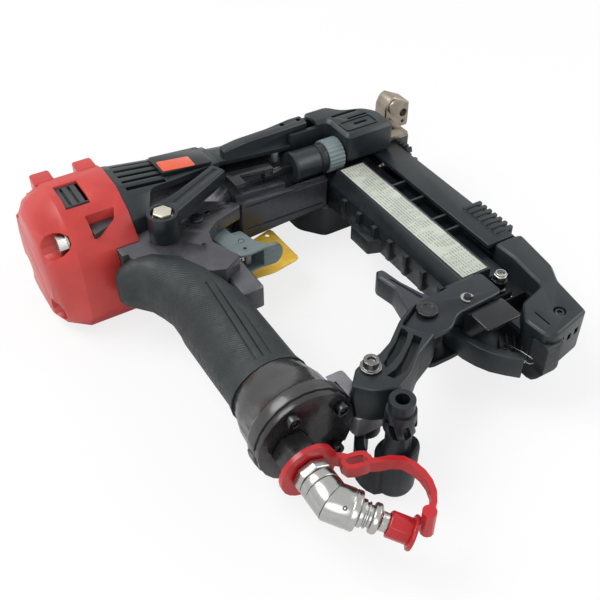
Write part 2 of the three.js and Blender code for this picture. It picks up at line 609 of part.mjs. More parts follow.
// Cover shell behind the cap, with slots, open where the web and the handle pass
function exhaustCover() {
  const rear = cap.rim + gap;
  const rings = (less) => [
    sectionLess(rear, exhaustShares.rear, less), sectionLess(exhaust.mid, exhaustShares.mid, less),
    sectionLess(exhaust.front, exhaustShares.front, less),
  ];
  const shell = cut(
    loft(rings(0)), loft(rings(exhaust.wall)),
    pinX(rear - overrun, exhaust.front + overrun, 0, 0, barrel.radius + gap)
  );
  const opening = slab(rounded([
    [exhaust.openFrom, exhaust.near], [exhaust.front + overrun, exhaust.near + exhaust.rise],
    [exhaust.front + overrun, -section.halfWidth - overrun], [exhaust.tongue, -section.halfWidth - overrun],
    [exhaust.tongue, exhaust.tongueTip],
  ], exhaust.wall), -section.halfWidth - overrun, section.halfWidth + overrun);
  const root = block(
    rear - overrun, exhaust.tongue + overrun,
    -section.halfWidth - overrun, 0, -web.half - gap, web.half + gap,
  );
  const slots = Array.from({ length: exhaust.slots }, (_, index) => {
    const angle = THREE.MathUtils.degToRad(exhaust.slotStart + index * exhaust.slotTurn);
    const half = exhaust.slotWidth / 2;
    const geometry = new THREE.BoxGeometry(exhaust.slotTo - exhaust.slotFrom, section.halfWidth, 2 * half);
    geometry.translate(0, section.halfWidth, 0).rotateX(angle);
    geometry.translate((exhaust.slotTo + exhaust.slotFrom) / 2, 0, 0);
    return solidOf(geometry);
  });
  return cut(shell, opening, root, ...slots);
}

function sectionLess(x, share, wall) {
  const ringPoints = sectionRing(x, share);
  const extent = section.halfWidth * share;
  ringPoints.forEach((point) => {
    point.y *= (extent - wall) / extent;
    point.z *= (extent - wall) / extent;
  });
  return ringPoints;
}

// Blank plate on the cover: a tilted raised pad cut to the cover's form below
function tiltedPlate(size, floor, height, corner) {
  const shape = rounded(rectangle(0, size.length, -size.width / 2, size.width / 2), corner);
  const geometry = extruded(shape, height, 0);
  geometry.translate(0, 0, floor).rotateX(THREE.MathUtils.degToRad(plate.tilt));
  const front = exhaust.front - exhaust.slotWidth * 2;
  geometry.rotateY(THREE.MathUtils.degToRad(plate.fall));
  geometry.translate(front - size.length, plate.y, section.halfWidth * exhaustShares.mid + plate.rise);
  return solidOf(geometry);
}

function namePlate() {
  const rear = cap.rim + gap;
  const under = loft([
    sectionLess(rear - overrun, exhaustShares.rear, -gap), sectionLess(exhaust.mid, exhaustShares.mid, -gap),
    sectionLess(exhaust.front + overrun, exhaustShares.front, -gap),
  ]);
  return cut(tiltedPlate(plate, -plate.thick, plate.thick, plate.corner), under);
}

// The handle's core, grown by `reach`, and longer at its open end by `extra`
function handleCore(reach, extra) {
  return loft([
    ovalRing(web.coreTop, handle.x, handle.neckDepth + reach, web.half - gap + reach),
    ovalRing(handle.top, handle.x, handle.neckDepth + reach, handle.halfThick + reach),
    ovalRing(handle.neckEnd, handle.x, handle.halfDepth + reach, handle.halfThick + reach),
    ovalRing(handle.seam - extra, handle.x, handle.halfDepth + reach, handle.halfThick + reach),
  ]);
}

// Housing: barrel with a front wall, web with ears, slot for the trigger, handle core
function bodyHousing() {
  const tube = cut(
    pinX(barrel.rear, exhaust.front, 0, 0, barrel.radius),
    pinX(barrel.rear - overrun, barrel.wallFrom, 0, 0, barrel.bore),
    pinX(barrel.rear, exhaust.front + overrun, 0, 0, barrel.hole, smallSides),
  );
  const ears = slab(rounded(spread(webShares, webReach), fine), -web.half, web.half);
  const clearBarrel = pinX(barrel.rear - overrun, exhaust.front, 0, 0, barrel.bore);
  const frontSpace = block(
    exhaust.front, exhaust.front + webReach.width,
    -webReach.height, 0, -web.half - overrun, web.half + overrun,
  );
  const rear = block(
    cap.handleRim + gap, web.rearLeft, web.rearBottom, cap.rimNear - gap, -web.half, web.half
  );
  const core = handleCore(0, 0);
  const bore = loft([
    ovalRing(handle.top, handle.x, handle.neckDepth - handle.wall, handle.halfThick - handle.wall),
    ovalRing(handle.neckEnd, handle.x, handle.halfDepth - handle.wall, handle.halfThick - handle.wall),
    ovalRing(handle.seam - overrun, handle.x, handle.halfDepth - handle.wall, handle.halfThick - handle.wall),
  ]);
  const slot = slab(rounded([
    [web.slotX, web.slotTop], [webReach.x + webReach.width + overrun, web.slotTop],
    [webReach.x + webReach.width + overrun, webReach.y - webReach.height - overrun],
    [web.slotX, webReach.y - webReach.height - overrun],
  ]), -web.slotHalf, web.slotHalf);
  const pins = housingPinShares.flatMap(([u, v]) => both((side) => pinZ(
    side > 0 ? web.half - housingPin.depth : -web.half - overrun,
    side > 0 ? web.half + overrun : housingPin.depth - web.half,
    webReach.x + u * webReach.width, webReach.y + v * webReach.height, housingPin.radius, smallSides,
  )));
  const pinHole = pinZ(
    -web.half - overrun, web.half + overrun, trigger.pivotX,
    trigger.pivotY, triggerPin.radius + gap, smallSides,
  );
  const boltHole = pinZ(
    hookBolt.tip - gap, web.half + overrun, hook.x, hook.y, hookBolt.shank + gap, smallSides
  );
  const lower = cut(join(ears, core), frontSpace);
  return cut(join(cut(join(lower, rear), clearBarrel), tube), slot, bore, pinHole, boltHole, ...pins);
}

const cylinderSleeve = () => cut(
  pinX(sleeve.rear, barrel.wallFrom - gap, 0, 0, sleeve.radius),
  pinX(sleeve.rear - overrun, barrel.wallFrom + overrun, 0, 0, sleeve.bore),
);

const bumperRing = () => turned([
  [barrel.wallFrom - gap, bumper.hole], [barrel.wallFrom - gap, bumper.radius],
  [barrel.wallFrom - gap - bumper.length / 2, bumper.radius - bumper.crown],
  [barrel.wallFrom - gap - bumper.length, bumper.radius - 2 * bumper.crown],
  [barrel.wallFrom - gap - bumper.length, bumper.hole], [barrel.wallFrom - gap, bumper.hole],
], axisX, [0, 0, 0]);

function pistonDriver() {
  const disc = turned([
    [piston.rear, 0], [piston.rear, piston.radius],
    [piston.rear + piston.length / 2 - piston.groove, piston.radius],
    [piston.rear + piston.length / 2 - piston.groove, piston.radius - piston.groove],
    [piston.rear + piston.length / 2 + piston.groove, piston.radius - piston.groove],
    [piston.rear + piston.length / 2 + piston.groove, piston.radius],
    [piston.rear + piston.length, piston.radius], [piston.rear + piston.length, 0],
  ], axisX, [0, 0, 0]);
  const blade = block(
    piston.rear + piston.length / 2, piston.tip, -piston.bladeWidth / 2, piston.bladeWidth / 2,
    -piston.bladeHeight / 2, piston.bladeHeight / 2,
  );
  return join(disc, blade);
}

const headValveRing = () => turned([
  [sleeve.rear - gap, headValve.inner], [sleeve.rear - gap, headValve.outer - headValve.lip],
  [sleeve.rear - gap - headValve.lip, headValve.outer],
  [sleeve.rear - gap - headValve.length, headValve.outer],
  [sleeve.rear - gap - headValve.length, headValve.inner], [sleeve.rear - gap, headValve.inner],
], axisX, [0, 0, 0]);

// Belt hook: a boss and a tapered arm, with a recess for its bolt
function beltHook() {
  const turn = THREE.MathUtils.degToRad(hook.turn);
  const along = new THREE.Vector2(Math.cos(turn), Math.sin(turn));
  const across = new THREE.Vector2(-along.y, along.x);
  const corner = (reach, side) => [
    hook.x + along.x * reach + across.x * side, hook.y + along.y * reach + across.y * side,
  ];
  const outline = (inset) => rounded([
    corner(0, hook.rootWidth / 2 - inset), corner(hook.length - inset, hook.tipWidth / 2 - inset),
    corner(hook.length - inset, -hook.tipWidth / 2 + inset), corner(0, -hook.rootWidth / 2 + inset),
  ], hook.tipRound);
  const blade = slab(outline(0), hook.armBottom, hook.top, hook.bevel);
  const boss = pinZ(hook.bottom, hook.top, hook.x, hook.y, hook.boss);
  const recess = pinZ(hook.top - hook.recessDepth, hook.top + overrun, hook.x, hook.y, hook.recess);
  const bore = pinZ(
    hook.bottom - overrun, hook.top + overrun, hook.x, hook.y, hookBolt.shank + gap, smallSides
  );
  const groove = slab(rounded([
    corner(hook.boss + hook.groove, hook.groove), corner(hook.length - 2 * hook.groove, hook.groove),
    corner(hook.length - 2 * hook.groove, -hook.groove), corner(hook.boss + hook.groove, -hook.groove),
  ], hook.groove), hook.top - hook.grooveDepth, hook.top + overrun);
  return cut(join(blade, boss), recess, bore, groove);
}

function hookBoltSolid() {
  const seat = hook.top - hook.recessDepth + gap;
  return join(
    pinZ(seat, seat + hook.bevel, hook.x, hook.y, hookBolt.washer, smallSides),
    slab(hexagon(hookBolt.across, hook.x, hook.y), seat, seat + hookBolt.height),
    pinZ(hookBolt.tip, seat + gap, hook.x, hook.y, hookBolt.shank, smallSides),
  );
}

// Drive guide: a tapered casting with a channel for the driver and room for the dial
function driveGuide() {
  const outline = rounded([
    [guide.from, guide.rearBottom], [guide.to, guide.frontBottom],
    [guide.to, guide.frontTop], [guide.from, guide.rearTop],
  ]);
  const body = slabY(outline, guide.near, guide.far, guide.corner);
  const channel = block(
    guide.from - overrun, guide.to + overrun, -guide.channel, guide.channel, -guide.channel, guide.channel,
  );
  const step = slabY(rounded([
    [guide.from - overrun, guide.rearTop - guide.step], [guide.to + overrun, guide.frontTop - guide.step],
    [guide.to + overrun, guide.rearTop + overrun], [guide.from - overrun, guide.rearTop + overrun],
  ]), guide.near - overrun, guide.near + guide.stepWidth);
  const grooves = [guide.frontTop - 2 * guide.groove, guide.frontBottom + guide.rail].map((z) => block(
    guide.from + guide.rail, guide.to - guide.rail, guide.near - overrun,
    guide.near + guide.grooveDepth, z, z + guide.groove,
  ));
  const nose = block(
    noseCover.from - running, guide.to + overrun, noseBody.far,
    guide.far + overrun, guide.rearBottom - overrun,
    guide.rearTop + overrun,
  );
  const dialRoom = pinX(
    dial.from - contactTravel - running, guide.to + overrun, dial.y, dial.z, dial.ringRadius + running,
  );
  const rodRoom = block(
    rodStart - contactTravel - running, dial.from,
    dial.y - rod.radius - running, dial.y + rod.radius + running,
    dial.z - rod.radius - running, guide.rearTop + overrun,
  );
  return cut(body, channel, step, nose, dialRoom, rodRoom, ...grooves);
}

// Cover over the drive guide with the moulded arm that runs on to the nose
function guideCoverSolid() {
  const from = exhaust.front + gap;
  const to = noseCover.from - gap;
  const outer = loft(
    [sectionLess(from, guideCoverShares.rear, 0), sectionLess(to, guideCoverShares.front, 0)]
  );
  const inner = loft([
    sectionLess(from - overrun, guideCoverShares.rear, guideCover.wall),
    sectionLess(to + overrun, guideCoverShares.front, guideCover.wall),
  ]);
  const nearCut = block(
    from - overrun, to + overrun, -section.halfWidth, guideCover.near, -section.halfWidth, section.halfWidth,
  );
  const outline = rounded(spread(armShares, armSpan), arm.bevel * roundingShare);
  const root = slab(outline, arm.bottom, arm.top, arm.bevel);
  const under = block(
    to, arm.to + overrun, -section.halfHeight, section.halfHeight, arm.bottom - overrun, arm.shelf,
  );
  const holes = arm.holes.map(
    (x) => pinZ(arm.shelf - overrun, arm.top + overrun, x, arm.holeY, arm.hole, smallSides)
  );
  return cut(join(cut(outer, nearCut), root), inner, under, ...holes);
}

// Nose cover: a shell above and below the magazine's front, joined along the far side
function noseCoverSolid() {
  const upperPoints = spread(noseShares, noseSpan);
  const upper = slab(
    rounded(upperPoints, noseCover.bevel * roundingShare),
    magazine.top + gap, noseCover.top, noseCover.bevel
  );
  const lower = slab(
    rounded(spread(noseLowerShares, noseSpan), noseCover.bevel * roundingShare),
    noseCover.bottom, magazine.bottom - gap, noseCover.bevel,
  );
  const far = block(
    noseCover.from, noseCover.farTo, noseBody.far + gap, noseCover.far, magazine.bottom - overrun,
    magazine.top + overrun,
  );
  const hollow = slab(
    rounded(grown(upperPoints, -noseCover.wall), fine),
    magazine.top - overrun, noseCover.top - noseCover.wall,
  );
  const lowerHollow = slab(
    rounded(grown(spread(noseLowerShares, noseSpan), -noseCover.wall), fine),
    noseCover.bottom + noseCover.wall,
    magazine.bottom + overrun,
  );
  const shelf = block(
    noseCover.from - overrun, noseCover.shelfTo, noseCover.near - overrun, noseCover.far + overrun,
    noseCover.shelf, noseCover.top + overrun,
  );
  const door = block(
    noseCover.to - 2 * noseCover.wall, noseCover.to + overrun, dial.y - shoe.legHalf - running,
    dial.y + shoe.legHalf + running, magazine.top - overrun, shoeLegTop + running,
  );
  const slots = noseSlotShares.map(([u, v, length]) => {
    const x = noseSpan.x + u * noseSpan.width;
    const y = noseSpan.y + v * noseSpan.height;
    return slab(
      rounded(rectangle(x, x + length * noseSpan.width, y, y + noseSlot.width), noseSlot.width / 2),
      noseCover.top - noseSlot.depth, noseCover.top + overrun,
    );
  });
  const rodHole = pinX(dial.ringTo, shoe.legRear, dial.y, dial.z, rod.radius + running, smallSides);
  return cut(join(upper, lower, far), hollow, lowerHollow, shelf, door, rodHole, ...slots);
}

const shoeLegTop = magazine.top + 2 * running + shoe.legThick;

function noseBodySolid() {
  const from = guide.to + gap;
  const outline = rounded([
    [from, -noseBody.half], [noseCover.to, -noseBody.half],
    [noseCover.to + noseBody.taper, -noseBody.tipHalf],
    [noseBody.to, -noseBody.tipHalf], [noseBody.to, noseBody.tipHalf],
    [noseCover.to + noseBody.taper, noseBody.tipHalf],
    [noseCover.to, noseBody.half], [from, noseBody.half],
  ]);
  const body = slabY(outline, noseBody.near, noseBody.far, fine);
  const slot = block(
    from - overrun, noseBody.to + overrun, -noseBody.slotHalf,
    noseBody.slotHalf, -noseBody.slotHeight, noseBody.slotHeight,
  );
  const feed = block(
    magazine.cavityLeft, magazineCover.right - magazineCover.wall, noseBody.near - overrun, 0,
    -noseBody.slotHeight, noseBody.slotHeight,
  );
  const dialRoom = pinX(from - overrun, dial.ringTo + overrun, dial.y, dial.z, dial.ringRadius + running);
  return cut(body, slot, feed, dialRoom);
}

// Contact shoe: ears on both sides of the muzzle, a bridge, and a leg back to the rod
function contactShoe() {
  const half = spread(shoeShares, shoeSpan);
  const outline = rounded(
    [...half, ...half.slice().reverse().map(([x, z]) => [x, -z])], fine * roundingShare
  );
  const plateSolid = slabY(outline, shoe.near, shoe.far, fine);
  const muzzle = block(
    shoe.rear - overrun, shoe.front + overrun, shoe.near - overrun, noseBody.far + running,
    -noseBody.tipHalf - running, noseBody.tipHalf + running,
  );
  const holes = both((side) => [
    pinY(shoe.near - overrun, shoe.far + overrun, shoe.holeX, side * shoe.holeZ, shoe.hole, smallSides),
    pinY(
      shoe.near - overrun, shoe.far + overrun, shoe.holeX,
      side * shoe.smallHoleZ, shoe.smallHole, smallSides
    ),
  ]).flat();
  const drum = pinY(
    shoe.near - shoe.drumRise, shoe.near + fine, shoe.drumX, shoe.drumZ, shoe.drum, smallSides
  );
  const leg = slab(rounded([
    [shoe.legRear, dial.y - shoe.legHalf], [shoe.rear + shoe.bridge, dial.y - shoe.legHalf],
    [shoe.rear + shoe.bridge, shoe.near + fine], [shoe.rear + fine, shoe.near + fine],
    [shoe.rear + fine, dial.y + shoe.legHalf], [shoe.legRear, dial.y + shoe.legHalf],
  ]), shoeLegTop - shoe.legThick, shoeLegTop);
  const upright = block(
    shoe.legRear, shoe.legRear + shoe.legThick,
    dial.y - shoe.legHalf, dial.y + shoe.legHalf, shoeLegTop - fine,
    dial.z + rod.radius + fine,
  );
  return join(cut(plateSolid, muzzle, ...holes), drum, leg, upright);
}

// Contact arm: the plate by the trigger and the rod that carries the dial
function contactArmSolid() {
  const top = contactArm.bottom + contactArm.thick;
  const strip = slab(rounded([
    [contactArm.from, contactArm.rearNear],
    [contactArm.from, contactArm.rearFar], [contactArm.to, contactArm.frontFar],
    [contactArm.to, contactArm.frontNear],
  ], fine), contactArm.bottom, top);
  const lip = slab(rounded([
    [contactArm.from, contactArm.rearNear + fine], [contactArm.legX, contactArm.rearNear + fine],
    [contactArm.legX, contactArm.legNear], [contactArm.from, contactArm.legNear],
  ], fine), contactArm.bottom, top);
  const rodSolid = pinX(rodStart, shoe.legRear - gap, dial.y, dial.z, rod.radius, smallSides);
  const upright = block(
    rodStart, contactArm.to, dial.y - rod.radius, dial.y + rod.radius, dial.z, top,
  );
  return join(strip, lip, rodSolid, upright);
}

function adjustDial() {
  const profile = [
    [dial.from, rod.radius + gap], [dial.from, dial.flangeRadius],
    [dial.from + dial.flange, dial.flangeRadius],
    [dial.from + dial.flange, dial.radius], [dial.groove, dial.radius],
    [dial.groove, dial.radius - dial.grooveDepth],
    [dial.groove + dial.grooveWidth, dial.radius - dial.grooveDepth],
    [dial.groove + dial.grooveWidth, dial.radius],
    [dial.ringFrom - gap, dial.radius], [dial.ringFrom - gap, dial.core], [dial.ringTo, dial.core],
    [dial.ringTo, rod.radius + gap], [dial.from, rod.radius + gap],
  ];
  return turned(profile, axisX, [0, dial.y, dial.z]);
}

function dialRing() {
  const shape = new THREE.Shape();
  shape.setFromPoints(Array.from({ length: 2 * dial.teeth }, (_, step) => {
    const angle = (step / (2 * dial.teeth)) * Math.PI * 2;
    const radius = dial.ringRadius - (step % 2) * dial.tooth;
    return new THREE.Vector2(dial.y + radius * Math.cos(angle), dial.z + radius * Math.sin(angle));
  }));
  shape.holes.push(ring(dial.core + gap, smallSides, dial.y, dial.z));
  return slabX(shape, dial.ringFrom, dial.ringTo);
}

// Trigger: flanges that bend round the finger, hollow behind, on its own pin
function triggerSolid() {
  const outline = rounded(spread(triggerShares, triggerSpan), fine);
  const body = join(
    slab(outline, -trigger.half, trigger.half, trigger.bevel),
    pinZ(-trigger.half, trigger.half, trigger.pivotX, trigger.pivotY, trigger.eye, smallSides),
  );
  const inside = slab(rounded(spread(triggerSlotShares, triggerSpan), fine), -trigger.inner, trigger.inner);
  const hole = pinZ(
    -trigger.half - overrun, trigger.half + overrun, trigger.pivotX,
    trigger.pivotY, triggerPin.radius + gap, smallSides,
  );
  const leverHole = pinZ(
    -trigger.half - overrun, trigger.half + overrun, triggerLever.x,
    triggerLever.y, triggerLever.radius + gap, smallSides,
  );
  const small = pinZ(
    -trigger.half - overrun, trigger.half + overrun, triggerLever.x - triggerLever.radius,
    triggerLever.y - trigger.holeDrop, trigger.smallHole, smallSides,
  );
  const tip = triggerTipShares.map(([u, v]) => [triggerSpan.x + u * triggerSpan.width, v * trigger.half]);
  const plan = slabY(rounded([
    [triggerSpan.x - overrun, -trigger.half], ...tip.map(([x, z]) => [x, -z]), ...tip.slice().reverse(),
    [triggerSpan.x - overrun, trigger.half],
  ]), triggerSpan.y - overrun, triggerSpan.y + triggerSpan.height + overrun);
  return cut(body, inside, hole, leverHole, small).intersect(plan);
}

// Inner lever on its own pin: it presses the valve stem when the trigger is pulled
function triggerLeverSolid() {
  const blade = slab(rounded([
    [triggerLever.left, triggerLever.top], [triggerLever.right, triggerLever.top],
    [triggerLever.right, triggerLever.bottom], [triggerLever.left, triggerLever.bottom],
  ], fine), -triggerLever.half, triggerLever.half);
  return join(blade, pinZ(
    -trigger.half, trigger.half, triggerLever.x, triggerLever.y, triggerLever.radius, smallSides,
  ));
}

const triggerPinSolid = () => pinZ(
  -web.half, web.half, trigger.pivotX, trigger.pivotY, triggerPin.radius, smallSides,
);

function valveBody() {
  const box = slab(
    rounded(rectangle(valve.from, valve.to, valve.bottom, valve.top), valve.bevel * roundingShare),
    -valve.half, valve.half, valve.bevel,
  );
  const seat = block(valve.from, valve.seat, valve.top - valve.bevel, valve.seatTop, -valve.half, valve.half);
  const bush = pinX(
    valve.seat - fine, valve.seat + valve.bushLength, stem.y, 0, valve.bushRadius, smallSides
  );
  const bore = pinX(
    stem.from - stem.travel - gap, valve.seat + valve.bushLength + overrun,
    stem.y, 0, stem.radius + gap, smallSides,
  );
  return cut(join(box, seat, bush), bore);
}

const valveStem = () => turned([
  [stem.from, 0], [stem.from, stem.radius], [stem.to - stem.headLength, stem.radius],
  [stem.to - stem.headLength, stem.head], [stem.to, stem.head], [stem.to, 0],
], axisX, [0, stem.y, 0], smallSides);

function triggerTag() {
  const top = -web.half - gap;
  const sheet = slab(rounded(spread(tagShares, tagSpan), tag.hole), top - tag.thick, top);
  const hole = pinZ(
    top - overrun, top + overrun, tagSpan.x + tagSpan.width - 2 * tag.hole,
    tagSpan.y + tagSpan.height - 2 * tag.hole,
    tag.hole / 2, smallSides,
  );
  return cut(sheet, hole);
}

// Magazine: a rail body with a stepped top, a side pocket band with ribs and a channel
function magazineRail() {
  const outline = rounded([
    [magazine.left, magazine.bottom], [magazine.band, magazine.bottom], [magazine.band, magazine.bandTop],
    [magazine.ridgeRight, magazine.bandTop],
    [magazine.ridgeRight, magazine.top], [magazine.ridge, magazine.top],
    [magazine.sideLeft, magazine.shoulder],
    [magazine.sideLeft, magazine.step], [magazine.left, magazine.step],
  ]);
  const body = slabY(outline, magazine.rear, magazine.front);
  const channel = block(
    magazine.cavityLeft, magazine.band + overrun, magazine.rear - overrun, magazine.front + overrun,
    magazine.cavityBottom, magazine.cavityTop,
  );
  const under = block(
    magazine.left - overrun, magazine.band + overrun, magazine.visible - running, magazine.front + overrun,
    magazine.frontTop, magazine.top + overrun,
  );
  const ribs = bandRibs.map((y) => block(
    magazine.ridgeRight - fine, magazine.band, y,
    y + magazine.ribWidth, magazine.bandTop - fine, magazine.bandRib,
  ));
  const bump = slab(rounded([
    [magazine.left + fine, magazine.bumpFrom],
    [magazine.left - magazine.bumpReach, magazine.bumpFrom - magazine.notchWidth],
    [magazine.left - magazine.bumpReach, magazine.bumpTo + magazine.notchWidth],
    [magazine.left + fine, magazine.bumpTo],
  ], fine), magazine.bottom, magazine.bumpTop);
  const sides = Array.from({ length: sideRibs.count }, (_, index) => {
    const y = sideRibs.from + ((sideRibs.to - sideRibs.from) / (sideRibs.count - 1)) * index;
    return block(
      magazine.sideLeft - sideRibs.reach, magazine.left + fine,
      y - sideRibs.width, y, sideRibs.bottom, sideRibs.top,
    );
  });
  return cut(join(body, bump, ...ribs, ...sides), channel, under);
}

// Cover of the magazine: a channel that slides back, with teeth and grip ribs
function magazineCoverSolid() {
  const left = magazine.band + magazineCover.gap;
  const outline = rounded([
    [left, magazine.bottom], [magazineCover.right, magazine.bottom],
    [magazineCover.right, magazine.top - magazineCover.chamfer],
    [magazineCover.right - magazineCover.chamfer, magazine.top], [left, magazine.top],
  ]);
  const body = slabY(outline, magazineCover.rear, magazine.front);
  const hollow = block(
    left - overrun, magazineCover.right - magazineCover.wall,
    magazineCover.rear - overrun, magazine.front + overrun,
    magazine.bottom + magazineCover.wall, magazine.top - magazineCover.wall,
  );
  const teeth = Array.from({ length: magazineCover.teeth }, (_, index) => {
    const top = magazineCover.toothFrom - index * magazineCover.toothPitch;
    return slab(rounded([
      [magazineCover.right - fine, top], [magazineCover.right + magazineCover.toothReach, top - fine],
      [magazineCover.right + magazineCover.toothReach, top - magazineCover.toothPitch / 2],
      [magazineCover.right - fine, top - magazineCover.toothPitch + fine],
    ]), magazine.bottom, magazine.bottom + magazineCover.toothHeight);
  });
  const grips = Array.from({ length: magazineCover.grips }, (_, index) => {
    const top = magazineCover.gripFrom - index * magazineCover.gripPitch;
    const bottom = top - magazineCover.gripWidth;
    const right = magazineCover.right + magazineCover.gripRise;
    return join(
      block(
        magazineCover.right - magazineCover.gripReach, right, bottom, top, magazine.top - fine,
        magazine.top + magazineCover.gripRise,
      ),
      block(
        magazineCover.right - fine, right, bottom, top, magazine.bottom + magazineCover.chamfer,
        magazine.top + magazineCover.gripRise,
      ),
    );
  });
  return cut(join(body, ...teeth, ...grips), hollow);
}

function pusherSolid() {
  const body = block(
    magazine.cavityLeft + running, magazine.cavityRight, pusher.front - pusher.length, pusher.front,
    magazine.cavityBottom + running, magazine.cavityTop - running,
  );
  const relief = block(
    magazine.cavityLeft + pusher.relief, magazine.cavityRight - pusher.relief,
    pusher.front - pusher.length - overrun,
    pusher.front - pusher.relief, magazine.cavityTop - running - pusher.reliefDepth,
    magazine.cavityTop + overrun,
  );
  return cut(body, relief);
}

function springRollSolid() {
  const middle = (magazine.cavityLeft + magazine.cavityRight) / 2;
  const y = pusher.front - pusher.length - gap - springRoll.radius;
  const z = (magazine.cavityBottom + magazine.cavityTop) / 2;
  return cut(
    pinX(middle - springRoll.width / 2, middle + springRoll.width / 2, y, z, springRoll.radius, smallSides),
    pinX(middle - springRoll.width, middle + springRoll.width, y, z, springRoll.hole, smallSides),
  );
}

// Rear bracket: two plates on a spine behind the magazine
function rearBracket() {
  const upper = slab(
    rounded(spread(bracketShares, bracketSpan), bracket.corner),
    bracket.top - bracket.thick, bracket.top, bracket.bevel,
  );
  const lower = slab(
    rounded(spread(lowerShares, bracketSpan), bracket.corner), bracket.bottom, bracket.bottom + bracket.thick,
  );
  const spine = block(
    bracket.spineLeft, bracket.spineRight, bracket.spineRear,
    magazine.rear - gap, bracket.bottom + bracket.thick - fine,
    bracket.top - bracket.thick + fine,
  );
  const tongue = block(
    bracket.spineRight - fine, stud.x + stud.collar, stud.y - stud.collar, magazine.rear - gap,
    bracket.bottom + bracket.thick - fine, stud.base,
  );
  const bore = pinZ(
    bracket.bottom - overrun, bracket.top + overrun,
    link.upperX, link.upperY, upperBolt.shank + gap, smallSides
  );
  const pin = pinZ(
    bracket.top - fine, bracket.top + bracket.pinRise, bracket.pinX, bracket.pinY, bracket.pin, smallSides,
  );
  return join(cut(join(upper, lower, spine, tongue), bore), pin);
}

function bracketNut() {
  const seat = stud.base + gap;
  return join(
    pinZ(seat, seat + stud.collarHeight, stud.x, stud.y, stud.collar, smallSides),
    slab(
      hexagon(stud.nut, stud.x, stud.y), seat + stud.collarHeight - fine,
      seat + stud.collarHeight + stud.nutHeight
    ),
    pinZ(seat, seat + stud.collarHeight + stud.nutHeight + fine, stud.x, stud.y, stud.shank, smallSides),
  );
}

function bracketPanel() {
  const outline = rounded(rectangle(panel.left, panel.right, panel.bottom, panel.top), panel.corner);
  const top = bracket.top - bracket.thick - gap;
  const sheet = slab(outline, top - panel.thick, top, panel.bevel);
  const ridge = slab(
    rounded(rectangle(
      panel.left + panel.hook, panel.right - panel.hook,
      panel.bottom + panel.hook / 2, panel.bottom + panel.hook,
    ), fine), top - panel.thick - panel.hook, top - panel.thick + fine,
  );
  return join(sheet, ridge);
}

function releaseLever() {
  const outline = rounded(spread(leverShares, leverSpan), fine * 2);
  const blade = slab(outline, lever.bottom, lever.top, lever.bevel);
  const eye = pinZ(lever.bottom, lever.top, link.upperX, link.upperY, lever.eyeRadius);
  const bore = pinZ(
    lever.bottom - overrun, lever.top + overrun, link.upperX, link.upperY, upperBolt.shank + gap, smallSides
  );
  const groove = slab(
    rounded(spread(leverGrooveShares, leverSpan), fine), lever.top - lever.groove, lever.top + overrun,
  );
  return cut(join(blade, eye), bore, groove);
}

// End block of the magazine cover, with its screw, guard wall and foot
function endBlockSolid() {
  const body = slab(
    rounded(spread(blockShares, blockSpan), endBlock.bevel * roundingShare),
    magazine.bottom, magazine.top, endBlock.bevel
  );
  const recess = pinZ(
    magazine.top - endBlock.recessDepth, magazine.top + overrun,
    endBlock.screwX, endBlock.screwY, endBlock.recess, smallSides,
  );
  const slit = slab(rounded([
    [endBlock.slitX, endBlock.slitTop], [endBlock.slitX + endBlock.slotWidth, endBlock.slitTop],
    [endBlock.slitX + endBlock.slotWidth, endBlock.slitBottom], [endBlock.slitX, endBlock.slitBottom],
  ]), magazine.top - endBlock.slotDepth, magazine.top + overrun);
  const skirt = slab(
    rounded(
      rectangle(skirtSpan.left, skirtSpan.right, skirtSpan.bottom, skirtSpan.top),
      endBlock.bevel * roundingShare
    ),
    magazine.bottom, skirtSpan.height, endBlock.bevel,
  );
  const footRoom = slab(footOutline(gap), magazine.bottom - overrun, foot.high + gap);
  return cut(join(body, skirt), recess, slit, footRoom);
}

function guardSolid() {
  const wall = slab(bandShape(guardPoints, guard.thick, smallSides / 2), guard.bottom, guard.top);
  const footRoom = slab(footOutline(gap), guard.bottom - overrun, foot.high + overrun);
  return cut(wall, footRoom);
}

function footOutline(reach) {
  return rounded(grown([
    [foot.left, foot.bottom], [foot.right - foot.corner, foot.bottom],
    [foot.right, foot.top], [foot.left, foot.top],
  ], reach), foot.corner);
}

const rubberFoot = () => slab(footOutline(0), foot.low, foot.high, foot.bevel);

// Link arm with its two moulded pockets
function linkArm() {
  const outline = rounded(spread(linkShares, linkSpan), fine * 2);
  const body = slab(outline, link.bottom, link.top, link.bevel);
  const pockets = pocketShares.map((shares) => slab(
    rounded(spread(shares, linkSpan), fine), link.top - link.pocket, link.top + overrun,
  ));
  const bores = [[link.boltX, link.boltY], [link.upperX, link.upperY]].map(([x, y]) => pinZ(
    link.bottom - overrun, link.top + overrun, x, y, link.eye, smallSides,
  ));
  const fork = pinZ(link.bottom - overrun, lever.top + running, link.upperX, link.upperY, link.forkReach);
  const step = slab(
    rounded(grown(spread(bracketShares, bracketSpan), running), bracket.corner),
    bracket.top - bracket.thick - gap,
    link.top + overrun,
  );
  return cut(body, fork, step, flangeRoom(), ...bores, ...pockets);
}

const flangeRoom = () => pinY(
  mount.bottom - overrun, gripEnd.flangeTop + gap, handle.x, 0, gripEnd.flangeRadius + gap,
);

function boltAt(x, y, seat, foot_, size) {
  const top = seat + size.washerHeight;
  return cut(join(
    pinZ(seat, top, x, y, size.washer, smallSides),
    pinZ(top - fine, top + size.headHeight, x, y, size.head, smallSides),
    pinZ(foot_, top, x, y, size.shank, smallSides),
  ), slab(hexagon(size.socket, x, y), top + size.headHeight - size.socket, top + size.headHeight + overrun));
}

